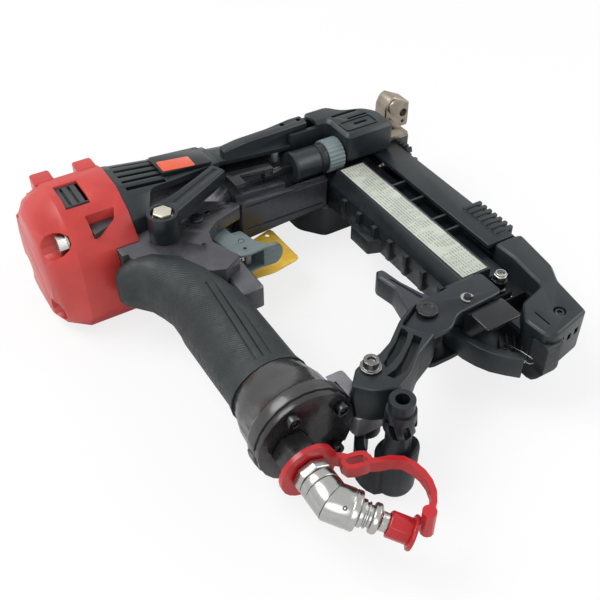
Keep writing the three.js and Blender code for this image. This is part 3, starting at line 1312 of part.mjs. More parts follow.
function upperBoltSolid() {
  const seat = bracket.top + gap;
  return cut(join(
    pinZ(seat, seat + upperBolt.headHeight, link.upperX, link.upperY, upperBolt.head, smallSides),
    pinZ(bracket.bottom, seat + fine, link.upperX, link.upperY, upperBolt.shank, smallSides),
  ), pinZ(
    seat + upperBolt.headHeight - upperBolt.depth, seat + overrun,
    link.upperX, link.upperY, upperBolt.ring, smallSides,
  ));
}

// Light grey mount that ties the link arm to the handle's end
function mountSolid() {
  const base = slab(rounded([
    [mount.left, mount.top], [mount.lugRight, mount.top],
    [mount.lugRight, mount.lugBottom], [mount.left, mount.bottom],
  ], mount.corner / 2), mount.base, mount.height, fine);
  const lower = slab(rounded([
    [mount.lugRight - mount.corner, mount.top],
    [mount.right, mount.top - mount.corner], [mount.right, mount.bottom],
    [mount.lugRight - mount.corner, mount.bottom],
  ], mount.corner), mount.base, link.bottom - gap, fine);
  const bore = pinZ(
    mount.base - overrun, mount.height + overrun, link.boltX, link.boltY, link.eye, smallSides
  );
  const arch = pinY(mount.bottom - overrun, mount.top + overrun, handle.x, 0, gripEnd.neckRadius + gap);
  const linkRoom = slab(
    rounded(grown(spread(linkShares, linkSpan), gap)), link.bottom - gap, link.top + overrun,
  );
  return cut(join(base, lower), bore, arch, flangeRoom(), linkRoom);
}

// Hanger: an arm under the link bolt that bends down to the base of its barrel
function hangerSolid() {
  const curve = slab(bandShape(hangerPoints, hanger.thick, smallSides), hanger.bottom, hanger.top);
  const eye = pinZ(hanger.low, mount.base - gap, link.boltX, link.boltY, hanger.eyeRadius);
  const base = pinZ(hanger.bottom, stand.footTop, stand.x, stand.y, stand.foot);
  const bore = pinZ(
    hanger.bottom - overrun, mount.base + overrun, link.boltX, link.boltY, hanger.bore, smallSides
  );
  const room = pinZ(stand.footTop - fine, hanger.top + overrun, stand.x, stand.y, stand.shoulder + gap);
  const seat = pinZ(
    hanger.bottom + hanger.flange, hanger.top + overrun, stand.x, stand.y, stand.radius + gap
  );
  return cut(join(curve, eye, base), bore, room, seat);
}

function standSolid() {
  const from = hanger.bottom + hanger.flange + gap;
  const outer = turned([
    [from, 0], [from, stand.radius], [stand.shoulderBottom, stand.radius],
    [stand.shoulderBottom + stand.slot, stand.waist],
    [stand.shoulderTop - stand.slot, stand.waist], [stand.shoulderTop, stand.shoulder],
    [stand.shoulderTop + stand.slot, stand.shoulder],
    [stand.neckTop, stand.radius], [stand.neckTop, stand.neckRadius],
    [stand.top, stand.neckRadius], [stand.top, 0],
  ], axisZ, [stand.x, stand.y, 0]);
  const bore = pinZ(stand.shoulderBottom, stand.top + overrun, stand.x, stand.y, stand.bore, smallSides);
  const window = block(
    stand.x - stand.radius - overrun, stand.x + stand.radius + overrun,
    stand.y - stand.slot / 2, stand.y + stand.slot / 2,
    stand.shoulderTop + 2 * stand.slot, stand.neckTop - stand.slot,
  );
  return cut(outer, bore, window);
}

// Rubber grip: a sleeve round the handle core with a flared root and long grooves
function gripRubber() {
  const half = handle.halfDepth + handle.rubber;
  const thick = handle.halfThick + handle.rubber;
  const tube = loft([
    ovalRing(gripRoot.y - gripRoot.height, handle.x, half, thick + gap),
    ovalRing(handle.bulgeY, handle.x, half, thick + handle.bulge / 2),
    ovalRing(handle.seam + 2 * handle.rubber, handle.x, half, thick),
    ovalRing(handle.seam, handle.x, half + handle.bulge, thick + handle.bulge),
  ]);
  const sweep = loft(gripRootRings.map(turnedRing));
  const root = slab(
    rounded(spread(gripRootShares, gripRoot), gripRoot.round), -gripRoot.half, gripRoot.half,
  ).intersect(sweep);
  const core = handleCore(gap, overrun);
  const ears = slab(rounded(grown(spread(webShares, webReach), gap)), -web.half - gap, web.half + gap);
  const rear = block(
    cap.handleRim - overrun, web.rearLeft, web.rearBottom - gap, 0, -section.halfWidth, section.halfWidth,
  );
  const boss = pinZ(hook.bottom - gap, gripRoot.half + overrun, hook.x, hook.y, hook.boss + running);
  const grooves = both((side) => Array.from({ length: gripGroove.lines }, (_, index) => {
    const x = handle.x + (index - 1) * gripGroove.pitch + gripGroove.pitch;
    const outline = rounded([
      [x, gripGroove.top], [x + gripGroove.width, gripGroove.top],
      [x + gripGroove.lean + gripGroove.width, gripGroove.bottom], [x + gripGroove.lean, gripGroove.bottom],
    ]);
    const depth = thick - gripGroove.depth;
    return slab(outline, side > 0 ? depth : -thick - overrun, side > 0 ? thick + overrun : -depth);
  })).flat();
  return cut(join(tube, root), core, ears, rear, boss, valveRoom(), ...grooves);
}

// An oval ring at a point of the root's path, turned square to the path
function turnedRing(place) {
  const turn = THREE.MathUtils.degToRad(place.turn);
  return Array.from({ length: roundSides }, (_, step) => {
    const angle = (step / roundSides) * Math.PI * 2;
    const across = place.wide * Math.cos(angle);
    return new THREE.Vector3(
      place.x + across * Math.sin(turn), place.y + across * Math.cos(turn), place.thick * Math.sin(angle),
    );
  });
}

const valveRoom = () => slab(
  rounded(rectangle(valve.from - gap, valve.to + overrun, valve.bottom - gap, valve.top + overrun)),
  -valve.half - gap,
  valve.half + gap,
);

function gripEndSolid() {
  const body = loft([
    ovalRing(
      handle.seam - gap, handle.x, handle.halfDepth + handle.rubber,
      handle.halfThick + handle.rubber + handle.bulge
    ),
    ovalRing(
      (handle.seam + gripEnd.flangeTop) / 2, handle.x,
      gripEnd.neckRadius - fine, gripEnd.neckRadius - 2 * fine
    ),
    centreRing(gripEnd.flangeTop, handle.x, gripEnd.neckRadius, roundSides),
    centreRing(gripEnd.flange, handle.x, gripEnd.flangeRadius, roundSides),
    centreRing(gripEnd.face, handle.x, gripEnd.flangeRadius, roundSides),
  ]);
  const bore = pinY(
    gripEnd.face - overrun, handle.seam + overrun, handle.x, 0, handle.halfThick - handle.wall
  );
  const seal = block(
    handle.x - gripEnd.flangeRadius - overrun, handle.x - gripEnd.flangeRadius + gripEnd.seal,
    gripEnd.face - overrun, gripEnd.flange + overrun, -gripEnd.sealLength, gripEnd.sealLength,
  );
  return cut(body, bore, seal);
}

const plateScrews = () => Array.from({ length: endPlate.screws }, (_, index) => {
  const angle = THREE.MathUtils.degToRad(endPlate.screwTurn + index * endPlate.screwStep);
  return [handle.x + endPlate.screwCircle * Math.cos(angle), endPlate.screwCircle * Math.sin(angle)];
});

function endPlateSolid() {
  const top = gripEnd.face - gap;
  const body = pinY(top - endPlate.thick, top, handle.x, 0, endPlate.radius);
  const spigot = pinY(top - fine, top + endPlate.dishDepth, handle.x, 0, endPlate.dish);
  const bore = pinY(
    top - endPlate.thick - overrun, top + endPlate.dishDepth + overrun,
    inlet.x, 0, inlet.neck + gap, smallSides
  );
  return cut(join(body, spigot), bore);
}

function plateScrew(x, z) {
  const seat = gripEnd.face - gap - endPlate.thick - gap;
  return cut(
    pinY(seat - endPlate.screwHeight, seat, x, z, endPlate.screwHead, smallSides),
    slabY(
      hexagon(endPlate.socket, x, z), seat - endPlate.screwHeight - overrun,
      seat - endPlate.screwHeight + endPlate.socketDepth
    ),
  );
}

// Inlet adapter: a hexagon with a neck through the plate and a bore for the air
function inletAdapter() {
  const top = gripEnd.face - endPlate.thick - 2 * gap;
  const hex = slabY(hexagon(inlet.hex, inlet.x, 0), top - inlet.hexLength, top, fine);
  const neck = pinY(top - fine, gripEnd.face - gap, inlet.x, 0, inlet.neck, smallSides);
  const tail = pinY(swivelTop() + gap, top - inlet.hexLength + fine, inlet.x, 0, inlet.tail, smallSides);
  const bore = pinY(
    swivelTop() - overrun, gripEnd.face + overrun + endPlate.dishDepth, inlet.x, 0, inlet.bore, smallSides
  );
  return cut(join(hex, neck, tail), bore);
}

const swivelTop = () => gripEnd.face - endPlate.thick - inlet.hexLength - strap.band - 4 * gap;

// Swivel, one piece: body on the inlet's axis, mitred corner, body on the plug's axis
function swivelBody() {
  const nut = slabY(
    ring(swivel.radius / Math.cos(Math.PI / swivel.flats), swivel.flats, inlet.x, 0),
    swivel.nutTo, swivelTop()
  );
  const lower = pinY(
    swivel.mitre - swivel.bodyRadius * Math.tan(halfTurn),
    swivel.nutTo + fine, inlet.x, 0, swivel.bodyRadius, smallSides
  );
  const corner = new THREE.Vector3(inlet.x, swivel.mitre, 0);
  const across = turned([
    [-swivel.bodyRadius, 0], [-swivel.bodyRadius, swivel.bodyRadius], [swivel.bodyLength, swivel.bodyRadius],
    [swivel.bodyLength, 0],
  ], plugAxis, corner.toArray(), smallSides);
  const reach = 2 * swivel.bodyLength + swivel.bodyRadius;
  const normal = plugAxis.clone().add(axisY.clone().negate()).normalize();
  const seam = normal.clone().multiplyScalar(swivel.seam / 2);
  const beforeSeam = halfSpace(corner.clone().add(seam), normal, reach, -1);
  const afterSeam = halfSpace(corner.clone().sub(seam), normal, reach, 1);
  const neck = rodAlong(
    normal, corner.toArray(), -swivel.seam, swivel.seam, swivel.bodyRadius - swivel.seam, smallSides
  );
  const bore = join(
    pinY(swivel.mitre - fine, swivelTop() + overrun, inlet.x, 0, swivel.boreRadius, smallSides),
    turned([
      [-gap, 0], [-gap, swivel.boreRadius - gap], [swivel.bodyLength + overrun, swivel.boreRadius - gap],
      [swivel.bodyLength + overrun, 0],
    ], plugAxis, corner.toArray(), smallSides),
  );
  return cut(join(cut(join(nut, lower), afterSeam), cut(across, beforeSeam), neck), bore);
}

// A thick slab on one side of a slanted plane
function halfSpace(point, normal, reach, side) {
  const geometry = new THREE.BoxGeometry(reach, reach, reach).translate(0, 0, side * reach / 2);
  const turn = new THREE.Quaternion().setFromUnitVectors(axisZ, normal);
  return solidOf(geometry.applyQuaternion(turn).translate(point.x, point.y, point.z));
}

const halfTurn = THREE.MathUtils.degToRad(swivel.mitreAngle);
const plugAxis = new THREE.Vector3(
  Math.sin(2 * halfTurn) * Math.cos(THREE.MathUtils.degToRad(swivel.roll)), -Math.cos(2 * halfTurn),
  Math.sin(2 * halfTurn) * Math.sin(THREE.MathUtils.degToRad(swivel.roll)),
);

function plugBody() {
  const from = swivel.bodyLength + gap;
  const profile = plugShares.map(([u, v]) => [from + u * plug.length, v * plug.collar]);
  const outer = turned(
    [[from, 0], ...profile, [from + plug.length, 0]], plugAxis, [inlet.x, swivel.mitre, 0], smallSides
  );
  const bore = turned([
    [from - overrun, 0], [from - overrun, plug.bore], [from + plug.length + overrun, plug.bore],
    [from + plug.length + overrun, 0],
  ], plugAxis, [inlet.x, swivel.mitre, 0], smallSides);
  return cut(outer, bore);
}

// Dust cap: a cup with a flange over the plug's end
function dustCapSolid() {
  const from = dustCap.from;
  const profile = [
    [from, dustCap.inside], [from, dustCap.radius],
    [from + dustCap.length - dustCap.flangeLength, dustCap.radius],
    [from + dustCap.length - dustCap.flangeLength, dustCap.flange], [from + dustCap.length, dustCap.flange],
    [from + dustCap.length, 0], [from + dustCap.length - dustCap.wall, 0],
    [from + dustCap.length - dustCap.wall, dustCap.inside], [from, dustCap.inside],
  ];
  return turned(profile, plugAxis, [inlet.x, swivel.mitre, 0], smallSides);
}

// Strap: a ring round the adapter's tail, an eyelet and a band that runs to the dust cap
function strapSolid() {
  const top = gripEnd.face - endPlate.thick - inlet.hexLength - 3 * gap;
  const collar = cut(
    pinY(top - strap.band, top, inlet.x, 0, strap.ring),
    pinY(top - strap.band - overrun, top + overrun, inlet.x, 0, inlet.tail + gap, smallSides),
  );
  const band = slab(bandShape(strapPoints, strap.thick, smallSides), -strap.half, strap.half);
  const slotted = (reach) => slab(rounded([
    [eyelet.x - reach - eyelet.slot, eyelet.y - reach],
    [eyelet.x + reach + eyelet.slot, eyelet.y - reach - eyelet.slot],
    [eyelet.x + reach + eyelet.slot, eyelet.y + reach - eyelet.slot],
    [eyelet.x - reach - eyelet.slot, eyelet.y + reach],
  ], reach), -strap.half - overrun, strap.half + overrun);
  const eye = slotted(eyelet.outer).intersect(slab(
    rounded(rectangle(inlet.x, eyelet.x - inlet.x, swivel.mitre, gripEnd.face)), -strap.half, strap.half,
  ));
  const end = strapPoints[strapPoints.length - 1];
  const tab = pinZ(-strap.tab, strap.half, end[0], end[1], strap.tabRadius, smallSides);
  return cut(join(collar, band, eye, tab), slotted(eyelet.inner), dustRoom());
}

const dustRoom = () => turned([
  [0, 0], [0, dustCap.flange + gap], [dustCap.from + dustCap.length + gap, dustCap.flange + gap],
  [dustCap.from + dustCap.length + gap, 0],
], plugAxis, [inlet.x, swivel.mitre, 0], smallSides);

function domeBolt() {
  const seat = guide.far + gap;
  return turned([
    [seat, 0], [seat, sideBolt.radius], [seat + sideBolt.height - sideBolt.crown, sideBolt.radius],
    [seat + sideBolt.height, sideBolt.radius / 2], [seat + sideBolt.height, 0],
  ], axisY, [sideBolt.x, 0, sideBolt.z], smallSides);
}

piece('cylinder_cap', cylinderCap(), 'red');
piece('exhaust_louvre', exhaustLouvre(), 'ventGrey');
boltPlaces().forEach(([y, z], index) => piece(`cap_bolt_${index + 1}`, capBoltSolid(y, z), 'steel'));
piece('exhaust_cover', exhaustCover(), 'blackPlastic');
piece('name_plate', namePlate(), 'glossBlack');
piece('body_housing', bodyHousing(), 'gunmetal');
piece('cylinder_sleeve', cylinderSleeve(), 'steel');
piece('bumper', bumperRing(), 'rubber');
piece('piston_driver', pistonDriver(), 'springSteel');
piece('head_valve', headValveRing(), 'blackPlastic');
piece('belt_hook', beltHook(), 'darkMetal');
piece('hook_bolt', hookBoltSolid(), 'cream');
piece('drive_guide', driveGuide(), 'gunmetal');
piece('guide_cover', guideCoverSolid(), 'blackPlastic');
piece('side_bolt', domeBolt(), 'steel');
piece('nose_cover', noseCoverSolid(), 'blackPlastic');
piece('nose_body', noseBodySolid(), 'gunmetal');
piece('contact_shoe', contactShoe(), 'tan');
piece('contact_arm', contactArmSolid(), 'lightGrey');
piece('adjust_dial', adjustDial(), 'triggerGrey');
piece('dial_ring', dialRing(), 'knurl');
piece('trigger', triggerSolid(), 'triggerGrey');
piece('trigger_lever', triggerLeverSolid(), 'lightGrey');
piece('trigger_pin', triggerPinSolid(), 'steel');
piece('valve_body', valveBody(), 'lightGrey');
piece('valve_stem', valveStem(), 'steel');
piece('trigger_tag', triggerTag(), 'yellow');
piece('magazine_rail', magazineRail(), 'darkMetal');
piece('magazine_cover', magazineCoverSolid(), 'darkMetal');
piece('pusher', pusherSolid(), 'blackPlastic');
piece('pusher_spring', springRollSolid(), 'springSteel');
piece('rear_bracket', rearBracket(), 'darkMetal');
piece('bracket_nut', bracketNut(), 'steel');
piece('bracket_panel', bracketPanel(), 'blackPlastic');
piece('release_lever', releaseLever(), 'gunmetal');
piece('end_block', endBlockSolid(), 'blackPlastic');
piece('guard', guardSolid(), 'blackPlastic');
piece('rubber_foot', rubberFoot(), 'rubber');
piece('link_arm', linkArm(), 'blackPlastic');
piece('link_bolt', boltAt(link.boltX, link.boltY, link.top + gap, hanger.low, linkBolt), 'steel');
piece('bracket_bolt', upperBoltSolid(), 'steel');
piece('grip_mount', mountSolid(), 'lightGrey');
piece('swivel_hanger', hangerSolid(), 'darkMetal');
piece('hanger_barrel', standSolid(), 'darkMetal');
piece('grip_rubber', gripRubber(), 'rubber');
piece('grip_end', gripEndSolid(), 'gunmetal');
piece('end_plate', endPlateSolid(), 'glossBlack');
plateScrews().forEach(([x, z], index) => piece(`plate_screw_${index + 1}`, plateScrew(x, z), 'steel'));
piece('inlet_adapter', inletAdapter(), 'glossBlack');
piece('tether_strap', strapSolid(), 'red');
piece('swivel_body', swivelBody(), 'chrome');
piece('plug_body', plugBody(), 'chrome');
piece('dust_cap', dustCapSolid(), 'red');

// The finished tool stands with the middle of its box over the origin and its lowest face on Z = 0
const box = new THREE.Box3().setFromObject(group);
const centre = box.getCenter(new THREE.Vector3());
group.children.forEach((mesh) => mesh.position.set(-centre.x, -centre.y, -box.min.z));

export default group;
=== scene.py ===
"""Studio scene of a pneumatic flooring nailer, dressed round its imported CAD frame.

The frame lies on its side: +X runs from the cylinder cap to the nose, -Y runs down the
handle and the magazine, and +Z runs up through the tool's width. Plain sizes are in
millimetres, plain turns are in degrees, and places count from the driver's axis.
"""
import json
import logging
import math
from dataclasses import dataclass, field
from enum import Enum, IntEnum
from typing import NamedTuple, Sequence

import bmesh
import bpy
from mathutils import Matrix, Vector

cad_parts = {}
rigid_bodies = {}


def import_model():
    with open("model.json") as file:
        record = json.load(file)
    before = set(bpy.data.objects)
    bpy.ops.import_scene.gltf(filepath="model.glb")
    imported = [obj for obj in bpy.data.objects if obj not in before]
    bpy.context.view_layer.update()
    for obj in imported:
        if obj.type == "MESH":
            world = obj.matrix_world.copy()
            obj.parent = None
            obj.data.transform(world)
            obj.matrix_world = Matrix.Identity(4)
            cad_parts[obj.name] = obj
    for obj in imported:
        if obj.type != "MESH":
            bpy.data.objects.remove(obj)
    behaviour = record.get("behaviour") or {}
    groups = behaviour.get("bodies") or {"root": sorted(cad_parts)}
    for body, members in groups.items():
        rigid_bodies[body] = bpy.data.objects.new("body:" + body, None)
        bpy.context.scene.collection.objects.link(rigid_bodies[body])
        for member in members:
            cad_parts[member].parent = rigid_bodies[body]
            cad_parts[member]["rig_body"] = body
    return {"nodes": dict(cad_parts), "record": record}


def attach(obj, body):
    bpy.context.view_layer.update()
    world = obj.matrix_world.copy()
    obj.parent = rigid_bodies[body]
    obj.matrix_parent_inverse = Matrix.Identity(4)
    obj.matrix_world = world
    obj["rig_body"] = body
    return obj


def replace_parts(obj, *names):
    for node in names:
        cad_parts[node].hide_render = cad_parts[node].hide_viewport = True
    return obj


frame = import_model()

log = logging.getLogger("nailer")

MM = 0.001
DRIVER_AXIS = Vector((-19.975, 116.0133, 39.0)) * MM
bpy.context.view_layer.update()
MERGE_DISTANCE = 0.002 * MM
FLAT_TURN = math.radians(0.4)
LEAST_BEND = 0.001
SHARP = 38.0
UPRIGHT = 0.9

Colour = tuple[float, float, float]
Point = tuple[float, float, float]
Band = tuple[float, float]
Pairs = tuple[tuple[float, float], ...]
Object = bpy.types.Object
Socket = bpy.types.NodeSocket
Material = bpy.types.Material
Inputs = dict[str | int, object]

EVEN: Point = (1, 1, 1)
ORIGIN: Point = (0, 0, 0)
MIDDLE_BAND: Band = (0.3, 0.7)


class Axis(Enum):
    """Directions that a turned piece may have."""

    Y = Vector((0, 1, 0))
    Z = Vector((0, 0, 1))
    DOWN_Y = Vector((0, -1, 0))


class Sides(IntEnum):
    """How many sides a turned piece has."""

    HEXAGON = 6
    OCTAGON = 8
    WIRE = 10
    HOLE = 24
    SCREW = 36
    STUD = 40
    BARREL = 48
    FINE = 64


def at(x: float, y: float, z: float) -> Vector:
    """Returns the place that lies x, y, z millimetres from the middle of the driver's axis."""
    return Vector((x, y, z)) * MM + DRIVER_AXIS


def turned_by(degrees: float, letter: str) -> Matrix:
    """Returns a turn about one axis."""
    return Matrix.Rotation(math.radians(degrees), 4, letter)


def shaded(colour: Colour, share: float, lift: float = 0) -> Colour:
    """Returns a colour times a share, plus a lift."""
    return tuple(min(1.0, part * share + lift) for part in colour)


# Finishes


class Pattern(NamedTuple):
    """Noise with features of a size, and the band of its values over which it comes in."""

    size: float
    detail: float = 4
    band: Band = MIDDLE_BAND
    rough: float = 0.55
    stretch: Point = EVEN


class Wiring:
    """Adds nodes to one tree and joins them."""

    def __init__(self, tree: bpy.types.NodeTree) -> None:
        """Takes the tree that the nodes go into."""
        self.tree = tree

    def feed(self, value: object, target: Socket) -> None:
        """Joins a socket to the target, or sets the target to a value.

        Args:
            value: a socket, a number, a vector or a colour; None leaves the target alone.
            target: the input socket.
        """
        if isinstance(value, Socket):
            self.tree.links.new(value, target)
        elif value is not None:
            target.default_value = (*value, 1) if target.type == "RGBA" else value

    def add(self, kind: str, inputs: Inputs | None = None, **settings: str) -> bpy.types.Node:
        """Returns a new node.

        Args:
            kind: the node's type, without the words that start every shader node's type.
            inputs: what feeds its inputs, by name or number.
            settings: the node's own settings.
        Returns:
            The node, fed and set.
        """
        node = self.tree.nodes.new(f"ShaderNode{kind}")
        for name, value in settings.items():
            setattr(node, name, value)
        for name, value in (inputs or {}).items():
            self.feed(value, node.inputs[name])
        return node

    def sum(self, operation: str, first: object, second: object) -> Socket:
        """Returns the result of one step of arithmetic."""
        return self.add("Math", {0: first, 1: second}, operation=operation).outputs[0]


class NodeSheet(Wiring):
    """Lays out the nodes of one material."""

    def __init__(self, name: str) -> None:
        """Starts an empty sheet with a principled shader.

        Args:
            name: the material's name.
        """
        self.material = bpy.data.materials.new(name)
        self.material.use_nodes = True
        super().__init__(self.material.node_tree)
        self.tree.nodes.clear()
        self.shader = self.add("BsdfPrincipled")
        self.output = self.add("OutputMaterial", {"Surface": self.shader.outputs["BSDF"]})
        self.place = self.add("TexCoord").outputs["Object"]

    def stretched(self, stretch: Point = EVEN, turn: Point = ORIGIN, start: Point = ORIGIN) -> Socket:
        """Returns object coordinates moved, turned and then stretched.

        Args:
            stretch: how often the pattern repeats along each direction.
            turn: the pattern's turn, in radians.
            start: the point in metres that becomes the pattern's zero.
        Returns:
            The coordinate socket.
        """
        inputs = {"Vector": self.place, "Location": start, "Rotation": turn}
        mapping = self.add("Mapping", inputs, vector_type="TEXTURE")
        scale = self.add("VectorMath", {0: mapping.outputs["Vector"], 1: stretch}, operation="MULTIPLY")
        return scale.outputs["Vector"]

    def noise(self, pattern: Pattern) -> Socket:
        """Returns a pattern's plain noise."""
        inputs = {"Scale": 1 / (pattern.size * MM), "Detail": pattern.detail, "Roughness": pattern.rough}
        return self.add("TexNoise", {"Vector": self.stretched(pattern.stretch), **inputs}).outputs["Fac"]

    def spots(self, pattern: Pattern, start: float = 0, end: float = 1) -> Socket:
        """Returns start where a pattern is below its band, end above it, and a slope between them."""
        return self.ramp(self.noise(pattern), *pattern.band, start, end)

    def cells(self, size: float) -> Socket:
        """Returns the distance from the middle of cells of about size millimetres."""
        inputs = {"Vector": self.stretched(), "Scale": 1 / (size * MM)}
        return self.add("TexVoronoi", inputs).outputs["Distance"]

    def ramp(self, factor: Socket, low: float, high: float, start: float = 0, end: float = 1) -> Socket:
        """Returns start where factor is below low, end above high, and a slope between them."""
        inputs = {"Value": factor, "From Min": low, "From Max": high, "To Min": start, "To Max": end}
        return self.add("MapRange", inputs, interpolation_type="SMOOTHSTEP").outputs["Result"]

    def blend(self, factor: object, first: object, second: object) -> Socket:
        """Returns a mix of two colours."""
        return self.add("Mix", {0: factor, 6: first, 7: second}, data_type="RGBA").outputs[2]

    def part(self, vector: Socket, letter: str) -> Socket:
        """Returns one coordinate of a vector."""
        return self.add("SeparateXYZ", {0: vector}).outputs[letter]

    def bump(self, height: Socket, depth: float, strength: float = 1, under: Socket | None = None) -> Socket:
        """Returns a normal that height raises by depth millimetres, over another normal."""
        inputs = {"Strength": strength, "Distance": depth * MM, "Height": height, "Normal": under}
        return self.add("Bump", inputs).outputs["Normal"]

    def finish(
        self, colour: object, roughness: object, metal: float = 0, normal: Socket | None = None,
        **fixed: float,
    ) -> Material:
        """Feeds the shader and returns the material.

        Args:
            colour: a colour or its socket.
            roughness: a number or its socket.
            metal: 0 for paint and plastic, 1 for bare metal.
            normal: the surface normal's socket, if any.
            fixed: other shader sockets by name, with _ for a space.
        Returns:
            The finished material.
        """
        inputs = {"Base Color": colour, "Roughness": roughness, "Metallic": metal, "Normal": normal}
        inputs.update((name.replace("_", " "), value) for name, value in fixed.items())
        for name, value in inputs.items():
            self.feed(value, self.shader.inputs[name])
        return self.material


@dataclass(frozen=True)
class Finish:
    """A finish that many pieces share; its material is made once."""

    name: str
    colour: Colour

    def lay(self, sheet: NodeSheet) -> Material:
        """Lays the finish on a sheet; each kind of finish does this its own way."""
        raise NotImplementedError

    def material(self) -> Material:
        """Returns the finish's material, made on its first use."""
        return bpy.data.materials.get(self.name) or self.lay(NodeSheet(self.name))


@dataclass(frozen=True)
class Moulded(Finish):
    """Moulded plastic with a spark-eroded grain, flow marks and faint scuffs."""

    shade: Colour
    roughness: float = 0.4
    grain: float = 0.35
    depth: float = 0.03
    scuff: float = 0.35
    gloss: float = 0.4
    flow: Pattern = Pattern(26, 3, (0.35, 0.7))
    flow_depth: float = 0.15
    flow_strength: float = 0.4
    speck: Pattern = Pattern(0.5, 2, (0.62, 0.74))
    speck_light: Band = (1.6, 0.02)
    rub: Pattern = Pattern(9, 6, (0.56, 0.75), 0.7, (1, 3, 1))
    rub_rough: float = 0.25

    def lay(self, sheet: NodeSheet) -> Material:
        """Lays the grain and the scuffs.

        Args:
            sheet: the sheet that the nodes go on.
        Returns:
            The finished material.
        """
        flow = sheet.noise(self.flow)
        colour = sheet.blend(sheet.ramp(flow, *self.flow.band), self.colour, self.shade)
        light = shaded(self.colour, *self.speck_light)
        colour = sheet.blend(sheet.spots(self.speck, 0, self.scuff / 2), colour, light)
        rub = sheet.sum("MULTIPLY", sheet.spots(self.rub, 0, self.scuff), self.rub_rough)
        normal = sheet.bump(sheet.noise(Pattern(self.grain, 3, rough=0.6)), self.depth)
        normal = sheet.bump(flow, self.flow_depth, self.flow_strength, normal)
        roughness = sheet.sum("ADD", rub, self.roughness)
        return sheet.finish(colour, roughness, 0, normal, Specular_IOR_Level=self.gloss)


@dataclass(frozen=True)
class Coated(Finish):
    """Cast or formed metal under paint or powder, with pebbling and worn specks."""

    bare: Colour
    roughness: float = 0.42
    metal: float = 0.3
    pebble: float = 0.8
    depth: float = 0.05
    wear: float = 0.15
    patch: Pattern = Pattern(18, 4, (0.3, 0.75))
    patch_shares: Band = (0.88, 1.14)
    worn: Pattern = Pattern(2.2, 8, (0.66, 0.72), 0.72)
    sheen: Pattern = Pattern(5, 5)
    sheen_spread: Band = (-0.06, 0.08)
    fine: Pattern = Pattern(0.25, 2)

    def lay(self, sheet: NodeSheet) -> Material:
        """Lays the pebbled coat and its wear.

        Args:
            sheet: the sheet that the nodes go on.
        Returns:
            The finished material.
        """
        dark, light = (shaded(self.colour, share) for share in self.patch_shares)
        colour = sheet.blend(sheet.spots(self.patch), dark, light)
        colour = sheet.blend(sheet.spots(self.worn, 0, self.wear), colour, self.bare)
        roughness = sheet.spots(self.sheen, *(self.roughness + step for step in self.sheen_spread))
        normal = sheet.bump(sheet.noise(Pattern(self.pebble, 2, rough=0.5)), self.depth)
        normal = sheet.bump(sheet.noise(self.fine), self.depth / 4, 1, normal)
        return sheet.finish(colour, roughness, self.metal, normal)


@dataclass(frozen=True)
class Turned(Finish):
    """Bare or plated metal with the fine lines of turning or brushing."""

    roughness: float = 0.22
    lines: Point = (1, 1, 9)
    depth: float = 0.006
    stain: Colour = (0.16, 0.15, 0.13)
    dirt: float = 0.25
    marks: Pattern = Pattern(0.9, 3, (0.25, 0.75), 0.6)
    mark_spread: Band = (-0.06, 0.1)
    stains: Pattern = Pattern(6, 6, (0.52, 0.72), 0.65)

    def lay(self, sheet: NodeSheet) -> Material:
        """Lays the tool marks and the handling stains.

        Args:
            sheet: the sheet that the nodes go on.
        Returns:
            The finished material.
        """
        marks = sheet.noise(self.marks._replace(stretch=self.lines))
        colour = sheet.blend(sheet.spots(self.stains, 0, self.dirt), self.colour, self.stain)
        spread = (self.roughness + step for step in self.mark_spread)
        roughness = sheet.ramp(marks, *self.marks.band, *spread)
        return sheet.finish(colour, roughness, 1, sheet.bump(marks, self.depth))


@dataclass(frozen=True)
class Rubber(Finish):
    """Moulded rubber with a leathery grain and a dusty bloom."""

    bloom: Colour
    grain: float = 0.7
    depth: float = 0.09
    grain_strength: float = 0.5
    fine: Pattern = Pattern(0.2, 2)
    dust: Pattern = Pattern(14, 6, (0.42, 0.72), 0.6)
    dust_share: float = 0.4
    sheen: Pattern = Pattern(4)
    roughness: Band = (0.5, 0.68)
    gloss: float = 0.5

    def coat(self, sheet: NodeSheet, normal: Socket) -> Material:
        """Lays the bloom over a normal.

        Args:
            sheet: the sheet that the nodes go on.
            normal: the grain's normal.
        Returns:
            The finished material.
        """
        colour = sheet.blend(sheet.spots(self.dust, 0, self.dust_share), self.colour, self.bloom)
        roughness = sheet.spots(self.sheen, *self.roughness)
        return sheet.finish(colour, roughness, 0, normal, Specular_IOR_Level=self.gloss)

    def lay(self, sheet: NodeSheet) -> Material:
        """Lays the grain and the bloom."""
        normal = sheet.bump(sheet.cells(self.grain), self.depth, self.grain_strength)
        return self.coat(sheet, sheet.bump(sheet.noise(self.fine), self.depth / 4, 1, normal))


